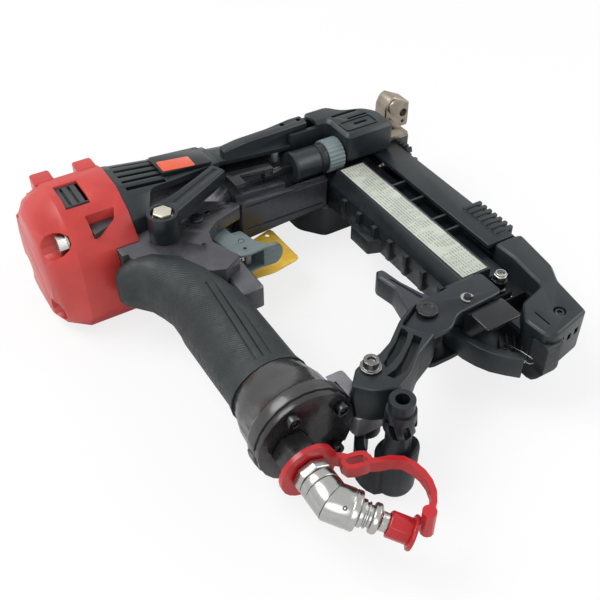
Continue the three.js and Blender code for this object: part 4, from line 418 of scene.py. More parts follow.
@dataclass(frozen=True)
class PalmRubber(Rubber):
    """Grip rubber with fine slanting ridges where the palm lies."""

    roughness: Band = (0.46, 0.64)
    gloss: float = 0.4
    middle: Point = ORIGIN
    slant: float = 58
    pitch: float = 1.3 * MM
    rise: float = 0.22
    rise_strength: float = 0.8
    reach: Band = (38 * MM, 46 * MM)
    side: Band = (-5 * MM, 2 * MM)

    def lay(self, sheet: NodeSheet) -> Material:
        """Lays the grain, the ridges and the bloom.

        Args:
            sheet: the sheet that the nodes go on.
        Returns:
            The finished material.
        """
        slanted = sheet.stretched(turn=(0, 0, math.radians(self.slant)), start=self.middle)
        wave = sheet.sum("PINGPONG", sheet.part(slanted, "X"), self.pitch / 2)
        straight = sheet.stretched(start=self.middle)
        side = sheet.ramp(sheet.part(straight, "X"), *self.side, 1, 0)
        length = sheet.sum("ABSOLUTE", sheet.part(straight, "Y"), 0)
        palm = sheet.sum("MULTIPLY", side, sheet.ramp(length, *self.reach, 1, 0))
        ridges = sheet.sum("MULTIPLY", sheet.ramp(wave, 0, self.pitch / 2), palm)
        under = sheet.bump(ridges, self.rise, self.rise_strength)
        return self.coat(sheet, sheet.bump(sheet.cells(self.grain), self.depth, self.grain_strength, under))


@dataclass(frozen=True)
class Sheeted(Finish):
    """Thin plastic sheet with soft creases, which lets some light through; the creases are painted darker as
    shade.
    """

    # painted shade: the darker colour that the creased parts take
    crease_shade: Colour
    crease: Pattern = Pattern(9, 3, (0.4, 0.62), 0.5, (1, 2, 1))
    depth: float = 1.2
    strength: float = 0.6
    roughness: Band = (0.32, 0.5)
    clearness: float = 0.15

    def lay(self, sheet: NodeSheet) -> Material:
        """Lays the creases, with painted shade darkening their colour.

        Args:
            sheet: the sheet that the nodes go on.
        Returns:
            The finished material.
        """
        crease = sheet.noise(self.crease)
        # painted shade: the creases are blended towards the darker crease colour
        colour = sheet.blend(sheet.ramp(crease, *self.crease.band), self.colour, self.crease_shade)
        roughness = sheet.ramp(crease, *MIDDLE_BAND, *self.roughness)
        normal = sheet.bump(crease, self.depth, self.strength)
        return sheet.finish(colour, roughness, 0, normal, Transmission_Weight=self.clearness)


@dataclass(frozen=True)
class Printed(Finish):
    """A blank printed label: plain ground and rows of grey rules in place of words."""

    ink: Colour
    start: Point
    row: float = 3.4 * MM
    rules: bool = True
    row_band: Band = (0.3, 0.34)
    words: Pattern = Pattern(0.9, 1, (0.44, 0.48), 0.4, (0.12, 1, 1))
    blocks: Pattern = Pattern(9, 0, (0.36, 0.4), 0, (0.4, 1, 1))
    ink_share: float = 0.62
    fade: Pattern = Pattern(12, 4, (0.35, 0.7))
    fade_share: float = 0.18
    roughness: Band = (0.26, 0.4)
    grain: Pattern = Pattern(0.4, 2)
    depth: float = 0.008
    coat: float = 0.3

    def printing(self, sheet: NodeSheet) -> Socket:
        """Lays rows of rules, broken into words and blocks.

        Args:
            sheet: the sheet that the nodes go on.
        Returns:
            How much ink lies where.
        """
        line = sheet.sum("PINGPONG", sheet.part(sheet.stretched(start=self.start), "X"), self.row / 2)
        rows = sheet.ramp(line, *(self.row * share for share in self.row_band))
        ink = sheet.sum("MULTIPLY", rows, sheet.spots(self.words))
        return sheet.sum("MULTIPLY", sheet.sum("MULTIPLY", ink, sheet.spots(self.blocks)), self.ink_share)

    def lay(self, sheet: NodeSheet) -> Material:
        """Lays the ground and its rules.

        Args:
            sheet: the sheet that the nodes go on.
        Returns:
            The finished material.
        """
        fade = sheet.noise(self.fade)
        ground = sheet.ramp(fade, *self.fade.band, 0, self.fade_share)
        colour = sheet.blend(ground, self.colour, self.ink)
        if self.rules:
            colour = sheet.blend(self.printing(sheet), colour, self.ink)
        roughness = sheet.ramp(fade, *MIDDLE_BAND, *self.roughness)
        normal = sheet.bump(sheet.noise(self.grain), self.depth)
        return sheet.finish(colour, roughness, 0, normal, Coat_Weight=self.coat)


CAP_RED = Moulded("cap_red", (0.5, 0.046, 0.04), (0.42, 0.034, 0.03), 0.33, 0.5, 0.018, 0.2)
NYLON = Moulded("black_nylon", (0.009, 0.0135, 0.016), (0.016, 0.021, 0.024), 0.36, 0.4, 0.035)
SMOOTH_BLACK = Moulded("smooth_black", (0.008, 0.01, 0.011), (0.014, 0.016, 0.018), 0.22, 0.8, 0.008, 0.15)
LOUVRE_GREY = Moulded("louvre_grey", (0.03, 0.033, 0.037), (0.02, 0.023, 0.026), 0.4)
VENT_METAL = Coated("vent_metal", (0.06, 0.06, 0.066), (0.3, 0.3, 0.3), 0.3, 0.5, 0.7, 0.06, 0.15)
KNURL_GREY = Moulded("knurl_grey", (0.17, 0.21, 0.22), (0.12, 0.16, 0.17), 0.42)
STRAP_RED = Moulded("strap_red", (0.46, 0.016, 0.02), (0.37, 0.011, 0.015), 0.24, 0.9, 0.01, 0.15)
CASTING = Coated("dark_casting", (0.05, 0.054, 0.063), (0.34, 0.34, 0.34), 0.32, 0.55, 1.1, 0.05, 0.1)
HOUSING_CAST = Coated("housing_casting", (0.078, 0.078, 0.088), (0.36, 0.36, 0.36), 0.3, 0.55, 1.1, 0.05, 0.1)
BLACK_METAL = Coated("black_metal", (0.012, 0.016, 0.02), (0.25, 0.25, 0.25), 0.34, 0.3, 0.7, 0.035, 0.1)
GLOSS_PAINT = Coated("gloss_black_paint", (0.014, 0.014, 0.015), (0.16, 0.16, 0.16), 0.24, 0.0, 3, 0.05, 0.08)
BRONZED = Coated("smoked_casting", (0.055, 0.055, 0.056), (0.16, 0.16, 0.155), 0.2, 0.35, 2.4, 0.05, 0.06)
TRIGGER_COAT = Coated("trigger_coat", (0.14, 0.18, 0.185), (0.4, 0.4, 0.4), 0.32, 0.3, 0.9, 0.03, 0.2)
LIGHT_CAST = Coated("light_casting", (0.2, 0.2, 0.22), (0.45, 0.45, 0.45), 0.4, 0.55, 0.9, 0.06, 0.2)
DARK_CAST = Coated("gloss_black_arm", (0.018, 0.02, 0.023), (0.2, 0.2, 0.2), 0.15, 0.3, 1.6, 0.04, 0.08)
VALVE_CAST = Coated("valve_casting", (0.1, 0.102, 0.112), (0.4, 0.4, 0.4), 0.38, 0.55, 0.9, 0.06, 0.15)
STEEL = Turned("plated_steel", (0.42, 0.42, 0.4), 0.26)
DARK_STEEL = Turned("dark_steel", (0.2, 0.2, 0.195), 0.24)
SPRING_STEEL = Turned("spring_steel", (0.3, 0.3, 0.29), 0.3)
CHROME = Turned("chrome_plate", (0.4, 0.405, 0.39), 0.2, (1, 7, 1), 0.004, (0.2, 0.19, 0.17), 0.3)
ZINC = Turned("zinc_plate", (0.6, 0.57, 0.47), 0.3, (5, 1, 1), 0.008, (0.3, 0.27, 0.2), 0.3)
PHOSPHATE = Turned("phosphate_steel", (0.3, 0.26, 0.21), 0.42, EVEN, 0.03, (0.1, 0.09, 0.08), 0.5)
BLACK_OXIDE = Turned("black_oxide", (0.06, 0.062, 0.064), 0.26, EVEN, 0.01, (0.02, 0.02, 0.02), 0.3)
GRIP_RUBBER = PalmRubber(
    "grip_rubber", (0.014, 0.019, 0.021), (0.038, 0.043, 0.045), 0.6, 0.07, middle=tuple(at(-49, -108, 0)),
)
FOOT_RUBBER = Rubber("foot_rubber", (0.016, 0.018, 0.02), (0.04, 0.042, 0.042), 0.5, 0.05)
# the tag's second colour is painted shade for its creases
TAG_YELLOW = Sheeted("tag_yellow", (0.86, 0.58, 0.07), (0.76, 0.46, 0.04))
ORANGE_LABEL = Printed("orange_label", (0.66, 0.075, 0.016), (0.5, 0.05, 0.01), ORIGIN, rules=False)
PALE_LABEL = Printed("pale_label", (0.5, 0.53, 0.46), (0.06, 0.07, 0.06), tuple(at(78.4, -32, 14)), 1.9 * MM)


# Modelling


class Bench:
    """Modelling moves that are made the same way on every piece."""

    @staticmethod
    def clear() -> None:
        """Leaves edit mode and selects nothing."""
        if bpy.context.object and bpy.context.object.mode != "OBJECT":
            bpy.ops.object.mode_set(mode="OBJECT")
        bpy.ops.object.select_all(action="DESELECT")

    @classmethod
    def take(cls, piece: Object) -> None:
        """Makes one object the only selected and active one.

        Args:
            piece: the object.
        """
        cls.clear()
        piece.select_set(True)
        bpy.context.view_layer.objects.active = piece

    @classmethod
    def opened(cls, piece: Object) -> Object:
        """Takes a piece into edit mode with all its faces selected.

        Args:
            piece: the object.
        Returns:
            The same object.
        """
        cls.take(piece)
        bpy.ops.object.mode_set(mode="EDIT")
        bpy.ops.mesh.select_mode(type="FACE")
        bpy.ops.mesh.select_all(action="SELECT")
        return piece

    @staticmethod
    def closed(piece: Object) -> Object:
        """Turns the faces of a closed piece outwards and leaves edit mode.

        Args:
            piece: the object.
        Returns:
            The same object.
        """
        bpy.ops.mesh.select_all(action="SELECT")
        bpy.ops.mesh.normals_make_consistent(inside=False)
        bpy.ops.object.mode_set(mode="OBJECT")
        return piece

    @staticmethod
    def started(name: str) -> Object:
        """Names the primitive that was just added, and returns it.

        Args:
            name: its new name.
        Returns:
            The object.
        """
        piece = bpy.context.object
        piece.name = piece.data.name = name
        return piece

    @classmethod
    def settled(cls, piece: Object) -> Object:
        """Puts the object at the origin with its place in its mesh.

        Args:
            piece: the object.
        Returns:
            The same object.
        """
        cls.take(piece)
        bpy.ops.object.transform_apply(location=True, rotation=True, scale=True)
        return piece

    @classmethod
    def modified(cls, piece: Object, kind: str, **values: object) -> Object:
        """Adds a modifier, applies it, and returns the object.

        Args:
            piece: the object.
            kind: the modifier's type.
            values: the modifier's settings.
        Returns:
            The same object.
        """
        cls.take(piece)
        modifier = piece.modifiers.new(kind.title(), kind)
        for name, value in values.items():
            setattr(modifier, name, value)
        bpy.ops.object.modifier_apply(modifier=modifier.name)
        return piece

    @classmethod
    def softened(cls, piece: Object, edge: float, limit: float = SHARP) -> Object:
        """Rounds the edges of a piece that turn by more than the limit, and shades the rest smooth.

        Args:
            piece: the object.
            edge: the rounding's width.
            limit: the least turn that counts as an edge.
        Returns:
            The same object.
        """
        turn = math.radians(limit)
        if edge > 0:
            cls.modified(
                piece, "BEVEL", width=edge * MM, segments=2, limit_method="ANGLE", angle_limit=turn,
                use_clamp_overlap=True, harden_normals=False,
            )
        cls.take(piece)
        bpy.ops.object.shade_smooth_by_angle(angle=turn)
        return piece

    @classmethod
    def less(cls, piece: Object, tool: Object) -> Object:
        """Cuts a tool out of a piece and removes the tool.

        Args:
            piece: the object.
            tool: what is cut away.
        Returns:
            The same object.
        """
        cls.modified(piece, "BOOLEAN", object=tool, operation="DIFFERENCE", solver="EXACT")
        bpy.data.objects.remove(tool, do_unlink=True)
        return piece

    @classmethod
    def joined(cls, name: str, pieces: Sequence[Object]) -> Object:
        """Joins pieces that form one body into one object.

        Args:
            name: the new object's name.
            pieces: the objects.
        Returns:
            The joined object.
        """
        cls.take(pieces[0])
        for piece in pieces:
            piece.select_set(True)
        bpy.ops.object.join()
        return cls.started(name)

    @classmethod
    def box(cls, name: str, low: Vector, high: Vector) -> Object:
        """Returns a box between two corners, settled.

        Args:
            name: the piece's name.
            low: its lowest corner.
            high: its highest corner.
        Returns:
            The settled object.
        """
        cls.clear()
        bpy.ops.mesh.primitive_cube_add(size=1, location=(low + high) / 2)
        piece = cls.started(name)
        piece.scale = high - low
        return cls.settled(piece)

    @classmethod
    def tapered(cls, piece: Object, taper: Point) -> Object:
        """Shrinks the upper face of a box to a share of its size.

        Args:
            piece: the upright box.
            taper: the share that the face keeps along each direction.
        Returns:
            The same object.
        """
        cls.opened(piece)
        bpy.ops.mesh.select_all(action="DESELECT")
        shape = bmesh.from_edit_mesh(piece.data)
        for face in shape.faces:
            face.select_set(face.normal.z > UPRIGHT)
        bmesh.update_edit_mesh(piece.data)
        bpy.ops.transform.resize(value=taper)
        bpy.ops.object.mode_set(mode="OBJECT")
        return piece

    @classmethod
    def raised(cls, piece: Object, height: float) -> Object:
        """Draws all faces of a flat piece up, which closes it into a solid.

        Args:
            piece: the object.
            height: how far it rises.
        Returns:
            The same object.
        """
        cls.opened(piece)
        bpy.ops.mesh.extrude_region_move(TRANSFORM_OT_translate={"value": (0, 0, height * MM)})
        return cls.closed(piece)

    @classmethod
    def slab(cls, name: str, outline: Pairs, level: float, height: float) -> Object:
        """Returns an upright slab over an outline.

        Args:
            name: the piece's name.
            outline: the places of its corners along x and y, in order.
            level: where its lower face lies.
            height: how far it rises from there.
        Returns:
            The settled object.
        """
        cls.clear()
        bpy.ops.mesh.primitive_circle_add(vertices=len(outline), radius=1, fill_type="NGON")
        piece = cls.opened(cls.settled(cls.started(name)))
        shape = bmesh.from_edit_mesh(piece.data)
        shape.verts.ensure_lookup_table()
        for vertex, (x, y) in zip(shape.verts, outline):
            vertex.co = at(x, y, level)
        bmesh.update_edit_mesh(piece.data)
        return cls.raised(piece, height)

    @classmethod
    def tablet(cls, name: str, size: Point, corner: float, place: Matrix) -> Object:
        """Returns a flat tablet with round corners, its lower face's middle at the place.

        Args:
            name: the piece's name.
            size: its length, width and thickness.
            corner: the radius of its corners.
            place: where it lies and how it is turned.
        Returns:
            The settled object.
        """
        cls.clear()
        bpy.ops.mesh.primitive_plane_add(size=1)
        piece = cls.started(name)
        piece.scale = (size[0] * MM, size[1] * MM, 1)
        cls.opened(cls.settled(piece))
        bpy.ops.mesh.bevel(offset=corner * MM, segments=5, affect="VERTICES")
        cls.raised(piece, size[2])
        piece.matrix_world = place
        return cls.settled(piece)

    @classmethod
    def halved(cls, piece: Object, point: Vector, normal: Vector) -> Object:
        """Cuts away what lies on the normal's side of a plane and closes the cut.

        Args:
            piece: the object.
            point: a point of the plane.
            normal: the plane's normal.
        Returns:
            The same object.
        """
        cls.opened(piece)
        bpy.ops.mesh.bisect(plane_co=point, plane_no=normal, use_fill=True, clear_outer=True)
        return cls.closed(piece)

    @classmethod
    def wire(cls, name: str, points: Sequence[Vector], radius: float) -> Object:
        """Returns a bent wire, drawn out from a circle from point to point.

        Args:
            name: the piece's name.
            points: the wire's middle line.
            radius: the wire's radius.
        Returns:
            The settled object, closed at both ends.
        """
        cls.clear()
        bpy.ops.mesh.primitive_circle_add(vertices=Sides.WIRE, radius=radius * MM, fill_type="NGON")
        piece = cls.started(name)
        ahead = (points[1] - points[0]).normalized()
        turn = Axis.Z.value.rotation_difference(ahead)
        piece.matrix_world = Matrix.Translation(points[0]) @ turn.to_matrix().to_4x4()
        cls.opened(cls.settled(piece))
        for index in range(1, len(points)):
            step = points[index] - points[index - 1]
            bpy.ops.mesh.extrude_region_move(TRANSFORM_OT_translate={"value": step})
            if index + 1 < len(points):
                after = (points[index + 1] - points[index - 1]).normalized()
                bend = ahead.rotation_difference(after)
                if bend.angle > LEAST_BEND:
                    cls.bent(piece, points[index], bend.to_matrix())
                ahead = after
        return cls.closed(piece)

    @staticmethod
    def bent(piece: Object, centre: Vector, turn: Matrix) -> None:
        """Turns the selected ring of a piece in edit mode about a point.

        Args:
            piece: the object.
            centre: the point.
            turn: the turn.
        """
        shape = bmesh.from_edit_mesh(piece.data)
        for vertex in shape.verts:
            if vertex.select:
                vertex.co = centre + turn @ (vertex.co - centre)
        bmesh.update_edit_mesh(piece.data)

    @classmethod
    def turned(
        cls, name: str, stations: Pairs, start: Vector, sides: Sides = Sides.BARREL,
        axis: Vector = Axis.Z.value,
    ) -> Object:
        """Returns a turned piece, drawn out ring by ring from its first disc.

        Args:
            name: the piece's name.
            stations: distance along the axis and radius of each ring.
            start: the point where the distance is zero.
            sides: how many sides each ring has.
            axis: the direction of turning.
        Returns:
            The settled object, closed at both ends.
        """
        cls.clear()
        (first, radius), *rest = [(along * MM, wide * MM) for along, wide in stations]
        place = (0, 0, first)
        bpy.ops.mesh.primitive_circle_add(vertices=sides, radius=radius, fill_type="NGON", location=place)
        piece = cls.opened(cls.settled(cls.started(name)))
        for along, wide in rest:
            bpy.ops.mesh.extrude_region_move(TRANSFORM_OT_translate={"value": (0, 0, along - first)})
            share = wide / radius
            bpy.ops.transform.resize(value=(share, share, 1), center_override=(0, 0, along))
            first, radius = along, wide
        cls.closed(piece)
        turn = Axis.Z.value.rotation_difference(axis.normalized()).to_matrix().to_4x4()
        piece.matrix_world = Matrix.Translation(start) @ turn
        return cls.settled(piece)


@dataclass(frozen=True)
class SocketScrew:
    """Head of a socket screw; all but its radius and height are shares of these."""

    radius: float
    height: float
    rim_start: float = 0.84
    rim_width: float = 0.86
    well_floor: float = 0.45
    well_width: float = 0.55
    well_end: float = 1.3

    def build(self, name: str, seat: Vector, axis: Vector = Axis.Z.value) -> Object:
        """Turns the head and cuts its six-sided well.

        Args:
            name: the piece's name.
            seat: the middle of the head's seat.
            axis: the direction from the seat to the head's top.
        Returns:
            The settled object.
        """
        radius, height, well = self.radius, self.height, self.radius * self.well_width
        rim = ((0, radius), (height * self.rim_start, radius), (height, radius * self.rim_width))
        depth = ((height * self.well_floor, well), (height * self.well_end, well))
        head = Bench.turned(name, rim, seat, Sides.SCREW, axis)
        return Bench.less(head, Bench.turned(f"{name}_tool", depth, seat, Sides.HEXAGON, axis))


class Carried(NamedTuple):
    """How one CAD node is carried over: its finish, its edges' rounding and their least turn."""

    node: str
    finish: Finish
    edge: float = 0.4
    limit: float = SHARP


Nodes = tuple[Carried, ...]


@dataclass
class Assembly:
    """One sub-assembly: it carries CAD nodes over and adds its own pieces."""

    title: str = "assembly"
    nodes: Nodes = ()
    pieces: list[Object] = field(default_factory=list)

    def build(self) -> None:
        """Carries over the sub-assembly's nodes, then adds what the CAD lacks."""
        for row in self.nodes:
            self.carry(*row)
        self.extend()

    def extend(self) -> None:
        """Adds the pieces that the CAD lacks; some sub-assemblies have none."""

    def carry(self, node: str, finish: Finish, edge: float, limit: float) -> None:
        """Lays a finished copy of a CAD node, with merged and rounded edges, in its place.

        Args:
            node: the CAD node's name.
            finish: the finish that it wears.
            edge: the rounding of its sharp edges.
            limit: the least turn between faces that counts as an edge.
        """
        source = frame["nodes"][node]
        piece = bpy.data.objects.new(f"{node}_finished", source.data.copy())
        bpy.context.scene.collection.objects.link(piece)
        Bench.opened(piece)
        bpy.ops.mesh.remove_doubles(threshold=MERGE_DISTANCE)
        bpy.ops.mesh.dissolve_limited(angle_limit=FLAT_TURN)
        bpy.ops.object.mode_set(mode="OBJECT")
        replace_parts(piece, node)
        self.dress(piece, finish, source["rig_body"], self.slot_of(node), edge, limit)

    def dress(
        self, piece: Object, finish: Finish, body: str, slot: str, edge: float, limit: float = SHARP,
    ) -> None:
        """Rounds a piece's edges and gives it its finish and the body that it rides on.

        Args:
            piece: the piece, settled.
            finish: the finish that it wears.
            body: the body that it rides on.
            slot: the record's material slot; not used.
            edge: the rounding of its sharp edges.
            limit: the least turn between faces that counts as an edge.
        """
        Bench.softened(piece, edge, limit)
        piece.data.materials.clear()
        piece.data.materials.append(finish.material())
        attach(piece, body)
        self.pieces.append(piece)

    @staticmethod
    def slot_of(node: str) -> str:
        """Returns the record's material slot of a CAD node."""
        return next(part["material_slot"] for part in frame["record"]["subparts"] if part["node"] == node)

    @staticmethod
    def finished(node: str) -> Object:
        """Returns the piece that stands for a CAD node."""
        return bpy.data.objects[f"{node}_finished"]


@dataclass
class CapEnd(Assembly):
    """Cylinder cap with its bolts and its louvre."""

    title: str = "cap end"
    nodes: Nodes = (
        Carried("cylinder_cap", CAP_RED, 1.1, 30),
        Carried("exhaust_louvre", LOUVRE_GREY, 0.25),
        *(Carried(f"cap_bolt_{index}", STEEL, 0.3) for index in range(1, 5)),
    )
    vent_outline: Pairs = ((-85.6, -21.8), (-68.9, -21.8), (-71.6, -27.2), (-85.0, -32.6))
    vent_level: float = 24.1
    vent_height: float = 3.4

    def extend(self) -> None:
        """Lays the dark plate on the floor of the cap's lower window."""
        piece = Bench.slab("vent_plate", self.vent_outline, self.vent_level, self.vent_height)
        self.dress(piece, VENT_METAL, "frame", "vent_grey", 0.3)


@dataclass
class Cylinder(Assembly):
    """What moves and seals inside the barrel."""

    title: str = "cylinder"
    nodes: Nodes = (
        Carried("cylinder_sleeve", STEEL, 0),
        Carried("bumper", FOOT_RUBBER, 0),
        Carried("piston_driver", SPRING_STEEL, 0.2),
        Carried("head_valve", SMOOTH_BLACK, 0),
    )


@dataclass
class Housing(Assembly):
    """Housing, the covers on it, and the blank plate with its label."""

    title: str = "housing"
    nodes: Nodes = (
        Carried("body_housing", HOUSING_CAST, 0.6),
        Carried("exhaust_cover", NYLON, 0.6, 30),
        Carried("name_plate", SMOOTH_BLACK, 0.6),
        Carried("drive_guide", CASTING, 0.6),
        Carried("guide_cover", NYLON, 0.7, 30),
        Carried("side_bolt", STEEL),
    )
    plate_start: Point = (-32.8, 1.5, 36.2)
    plate_tilt: float = -4.0
    plate_fall: float = 4.9
    label_size: Point = (20.4, 12.6, 0.2)
    label_middle: Point = (11.8, -4.2, 0)
    label_turn: float = -4.0
    label_corner: float = 1.2
    nut_place: Point = (66, 10.4, 1)
    nut_stations: Pairs = ((0, 4.59), (0.64, 4.59), (0.704, 3.4), (3.2, 3.196))

    def extend(self) -> None:
        """Sticks the blank orange label on the plate and screws the small black nut on the far side."""
        plate = turned_by(self.plate_fall, "Y") @ turned_by(self.plate_tilt, "X")
        lie = Matrix.Translation(Vector(self.label_middle) * MM) @ turned_by(self.label_turn, "Z")
        place = Matrix.Translation(at(*self.plate_start)) @ plate @ lie
        label = Bench.tablet("plate_label", self.label_size, self.label_corner, place)
        self.dress(label, ORANGE_LABEL, "frame", "red", 0.06)
        nut = Bench.turned("side_nut", self.nut_stations, at(*self.nut_place), Sides.HEXAGON, Axis.Y.value)
        self.dress(nut, BLACK_OXIDE, "frame", "dark_metal", 0.25)


@dataclass
class BeltHook(Assembly):
    """Belt hook and its hexagon bolt."""

    title: str = "belt hook"
    nodes: Nodes = (Carried("belt_hook", BLACK_METAL, 0.5), Carried("hook_bolt", ZINC, 0.35))
    stop_place: Point = (-25.0, -36.0, 16.4)
    stop_stations: Pairs = ((0, 4.2), (1.8, 4.2), (2.2, 3.6))

    def extend(self) -> None:
        """Puts the small round stop beside the hook's boss on the housing's web."""
        piece = Bench.turned("hook_stop", self.stop_stations, at(*self.stop_place), Sides.STUD)
        self.dress(piece, BLACK_METAL, "frame", "dark_metal", 0.25)


@dataclass
class Nose(Assembly):
    """Nose cover, nose body, contact linkage and depth dial."""

    title: str = "nose"
    nodes: Nodes = (
        Carried("nose_cover", NYLON, 0.8),
        Carried("nose_body", CASTING),
        Carried("contact_shoe", PHOSPHATE),
        Carried("contact_arm", DARK_CAST, 0.5),
        Carried("adjust_dial", NYLON, 0.5),
        Carried("dial_ring", KNURL_GREY, 0.2, 20),
    )
    rim_middle: Point = (99.6, -19.2, 34.95)
    rim_size: Point = (24.5, 11.5, 0.7)
    rim_band: float = 1.1
    rim_corner: float = 2.4

    def extend(self) -> None:
        """Moulds the low raised frame on the nose cover's top."""
        length, width, height = self.rim_size
        place = Matrix.Translation(at(*self.rim_middle))
        below = place @ Matrix.Translation((0, 0, -height * MM))
        hollow = (length - 2 * self.rim_band, width - 2 * self.rim_band, 3 * height)
        outer = Bench.tablet("nose_rim", self.rim_size, self.rim_corner, place)
        inner = Bench.tablet("nose_rim_tool", hollow, self.rim_corner - self.rim_band, below)
        self.dress(Bench.less(outer, inner), NYLON, "frame", "black_plastic", 0.2)


@dataclass
class TriggerSet(Assembly):
    """Trigger with its lever and pin, the valve and the tag behind it."""

    title: str = "trigger"
    nodes: Nodes = (
        Carried("trigger", TRIGGER_COAT, 0.5),
        Carried("trigger_lever", LIGHT_CAST, 0.3),
        Carried("trigger_pin", BLACK_OXIDE, 0.3),
        Carried("valve_body", VALVE_CAST),
        Carried("valve_stem", STEEL, 0.2),
        Carried("trigger_tag", TAG_YELLOW, 0.1),
    )


@dataclass
class Magazine(Assembly):
    """Magazine with its sliding cover, pusher, end block, guard and foot."""

    title: str = "magazine"
    nodes: Nodes = (
        Carried("magazine_rail", BLACK_METAL, 0.5),
        Carried("magazine_cover", NYLON, 0.5),
        Carried("pusher", NYLON),
        Carried("pusher_spring", SPRING_STEEL, 0.2),
        Carried("end_block", NYLON, 0.7),
        Carried("guard", NYLON, 0.6),
        Carried("rubber_foot", FOOT_RUBBER, 0.6),
    )
    label_low: Point = (77.8, -155.6, 13.88)
    label_high: Point = (95.0, -33.0, 14.12)
    screw: SocketScrew = SocketScrew(2.7, 2.4)
    screw_place: Point = (104.4, -203, 11.05)
    comb_start: Point = (128.2, -15.6, 10.5)
    comb_size: Point = (5.2, 1.9, 4.0)
    comb_taper: Point = (0.8, 0.7, 1)
    comb_step: float = 3.5
    combs: int = 6
    web_outline: Pairs = (
        (60.6, -179), (61.6, -186), (67.0, -197.5), (77.5, -208.5), (84.6, -199.6), (91.8, -188.2),
        (90.0, -179),
    )
    web_level: float = -9.0
    web_height: float = 2.4
    rib_start: Point = (70.5, -199.5, -6.7)
    rib_size: Point = (1.4, 15.0, 3.2)
    rib_taper: Point = (0.5, 0.9, 1)
    rib_step: Point = (4.4, -0.6, 0)
    rib_turn: float = 38.0
    ribs: int = 4
    wire_points: tuple[Point, ...] = (
        (75.4, -192.8, -5.6), (75.6, -198, -4), (76.2, -205, -3), (77.2, -211.4, -3), (78.4, -213.2, -3),
        (80.2, -213.6, -3), (81.6, -212.4, -3), (81.9, -210.6, -3), (80.9, -205, -3), (79.4, -198, -4),
        (78.4, -192.8, -5.6),
    )
    wire_radius: float = 0.38
    pocket: tuple[Point, Point] = ((76.0, -219.0, -11.6), (85.0, -204.0, 9.0))
    hollows: tuple[tuple[Point, Point], ...] = (
        ((90.0, -184.6, -9.0), (110.4, -173.0, 4.0)),
        ((102.3, -216.7, 1.5), (105.7, -209.7, 5.7)),
        ((108.7, -215.2, 1.5), (112.1, -208.2, 5.7)),
    )

    def extend(self) -> None:
        """Hollows the block and the foot, and adds the label, the screw, the comb, the web and the wire."""
        for low, high in self.hollows:
            self.hollow(self.finished("end_block"), low, high)
        self.hollow(self.finished("rubber_foot"), *self.pocket)
        label = Bench.box("magazine_label", at(*self.label_low), at(*self.label_high))
        self.dress(label, PALE_LABEL, "frame", "light_grey", 0.05)
        screw = self.screw.build("block_screw", at(*self.screw_place))
        self.dress(screw, BLACK_OXIDE, "cover", "steel", 0.12)
        self.comb()
        self.web()
        wire = Bench.wire("wire_clip", [at(*point) for point in self.wire_points], self.wire_radius)
        self.dress(wire, DARK_STEEL, "cover", "steel", 0)

    @staticmethod
    def hollow(piece: Object, low: Point, high: Point) -> None:
        """Cuts a square hollow between two corners out of a piece."""
        Bench.less(piece, Bench.box(f"{piece.name}_tool", at(*low), at(*high)))

    def web(self) -> None:
        """Fills the floor between the guard and the end block with a ribbed web."""
        pieces = [Bench.slab("guard_web", self.web_outline, self.web_level, self.web_height)]
        width, length, height = Vector(self.rib_size) * MM
        for index in range(self.ribs):
            low, high = Vector((-width / 2, 0, 0)), Vector((width / 2, length, height))
            rib = Bench.tapered(Bench.box(f"web_rib_{index + 1}", low, high), self.rib_taper)
            place = at(*self.rib_start) + Vector(self.rib_step) * index * MM
            rib.matrix_world = Matrix.Translation(place) @ turned_by(-self.rib_turn, "Z")
            pieces.append(Bench.settled(rib))
        self.dress(Bench.joined("guard_web", pieces), NYLON, "cover", "black_plastic", 0.3)

    def comb(self) -> None:
        """Moulds the row of short teeth at the cover's front corner, one copied to the next."""
        length, width, height = Vector(self.comb_size) * MM
        start = at(*self.comb_start)
        low, high = start - Vector((0, width, 0)), start + Vector((length, 0, height))
        first = Bench.tapered(Bench.box("comb_tooth_1", low, high), self.comb_taper)
        copies = []
        for index in range(1, self.combs):
            copy = first.copy()
            copy.data = first.data.copy()
            copy.name = copy.data.name = f"comb_tooth_{index + 1}"
            bpy.context.scene.collection.objects.link(copy)
            copy.location = (0, -index * self.comb_step * MM, 0)
            copies.append(Bench.settled(copy))
        for tooth in (*copies, first):
            self.dress(tooth, NYLON, "cover", "dark_metal", 0.3)


@dataclass
class Bracket(Assembly):
    """Rear bracket and the nut on its stud."""

    title: str = "bracket"
    nodes: Nodes = (Carried("rear_bracket", BLACK_METAL, 0.5),)
    nut_seat: Point = (97.6, -164, 3.3)
    nut_stations: Pairs = ((7.2, 3.7), (7.6, 4.1), (10.6, 4.1), (11.0, 3.7))
    lock_stations: Pairs = ((10.8, 3.1), (11.7, 3.1), (12.0, 2.8))
    shank_stations: Pairs = ((0, 4.6), (1.6, 4.6), (1.9, 3.5), (5.4, 3.5), (5.6, 4.3), (7.1, 4.3))
    hole_stations: Pairs = ((9.4, 2.2), (13.0, 2.2))

    def extend(self) -> None:
        """Turns the stud with its collar, the nut on it and the nut's open locking ring."""
        seat = at(*self.nut_seat)
        for name, stations, sides, finish in (
            ("stud_collar", self.shank_stations, Sides.STUD, BLACK_OXIDE),
            ("stud_nut", self.nut_stations, Sides.HEXAGON, STEEL),
            ("stud_lock", self.lock_stations, Sides.STUD, STEEL),
        ):
            part = Bench.turned(name, stations, seat, sides)
            tool = Bench.turned(f"{name}_tool", self.hole_stations, seat, Sides.HOLE)
            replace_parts(Bench.less(part, tool), "bracket_nut")
            self.dress(part, finish, "frame", "steel", 0.2, 30)


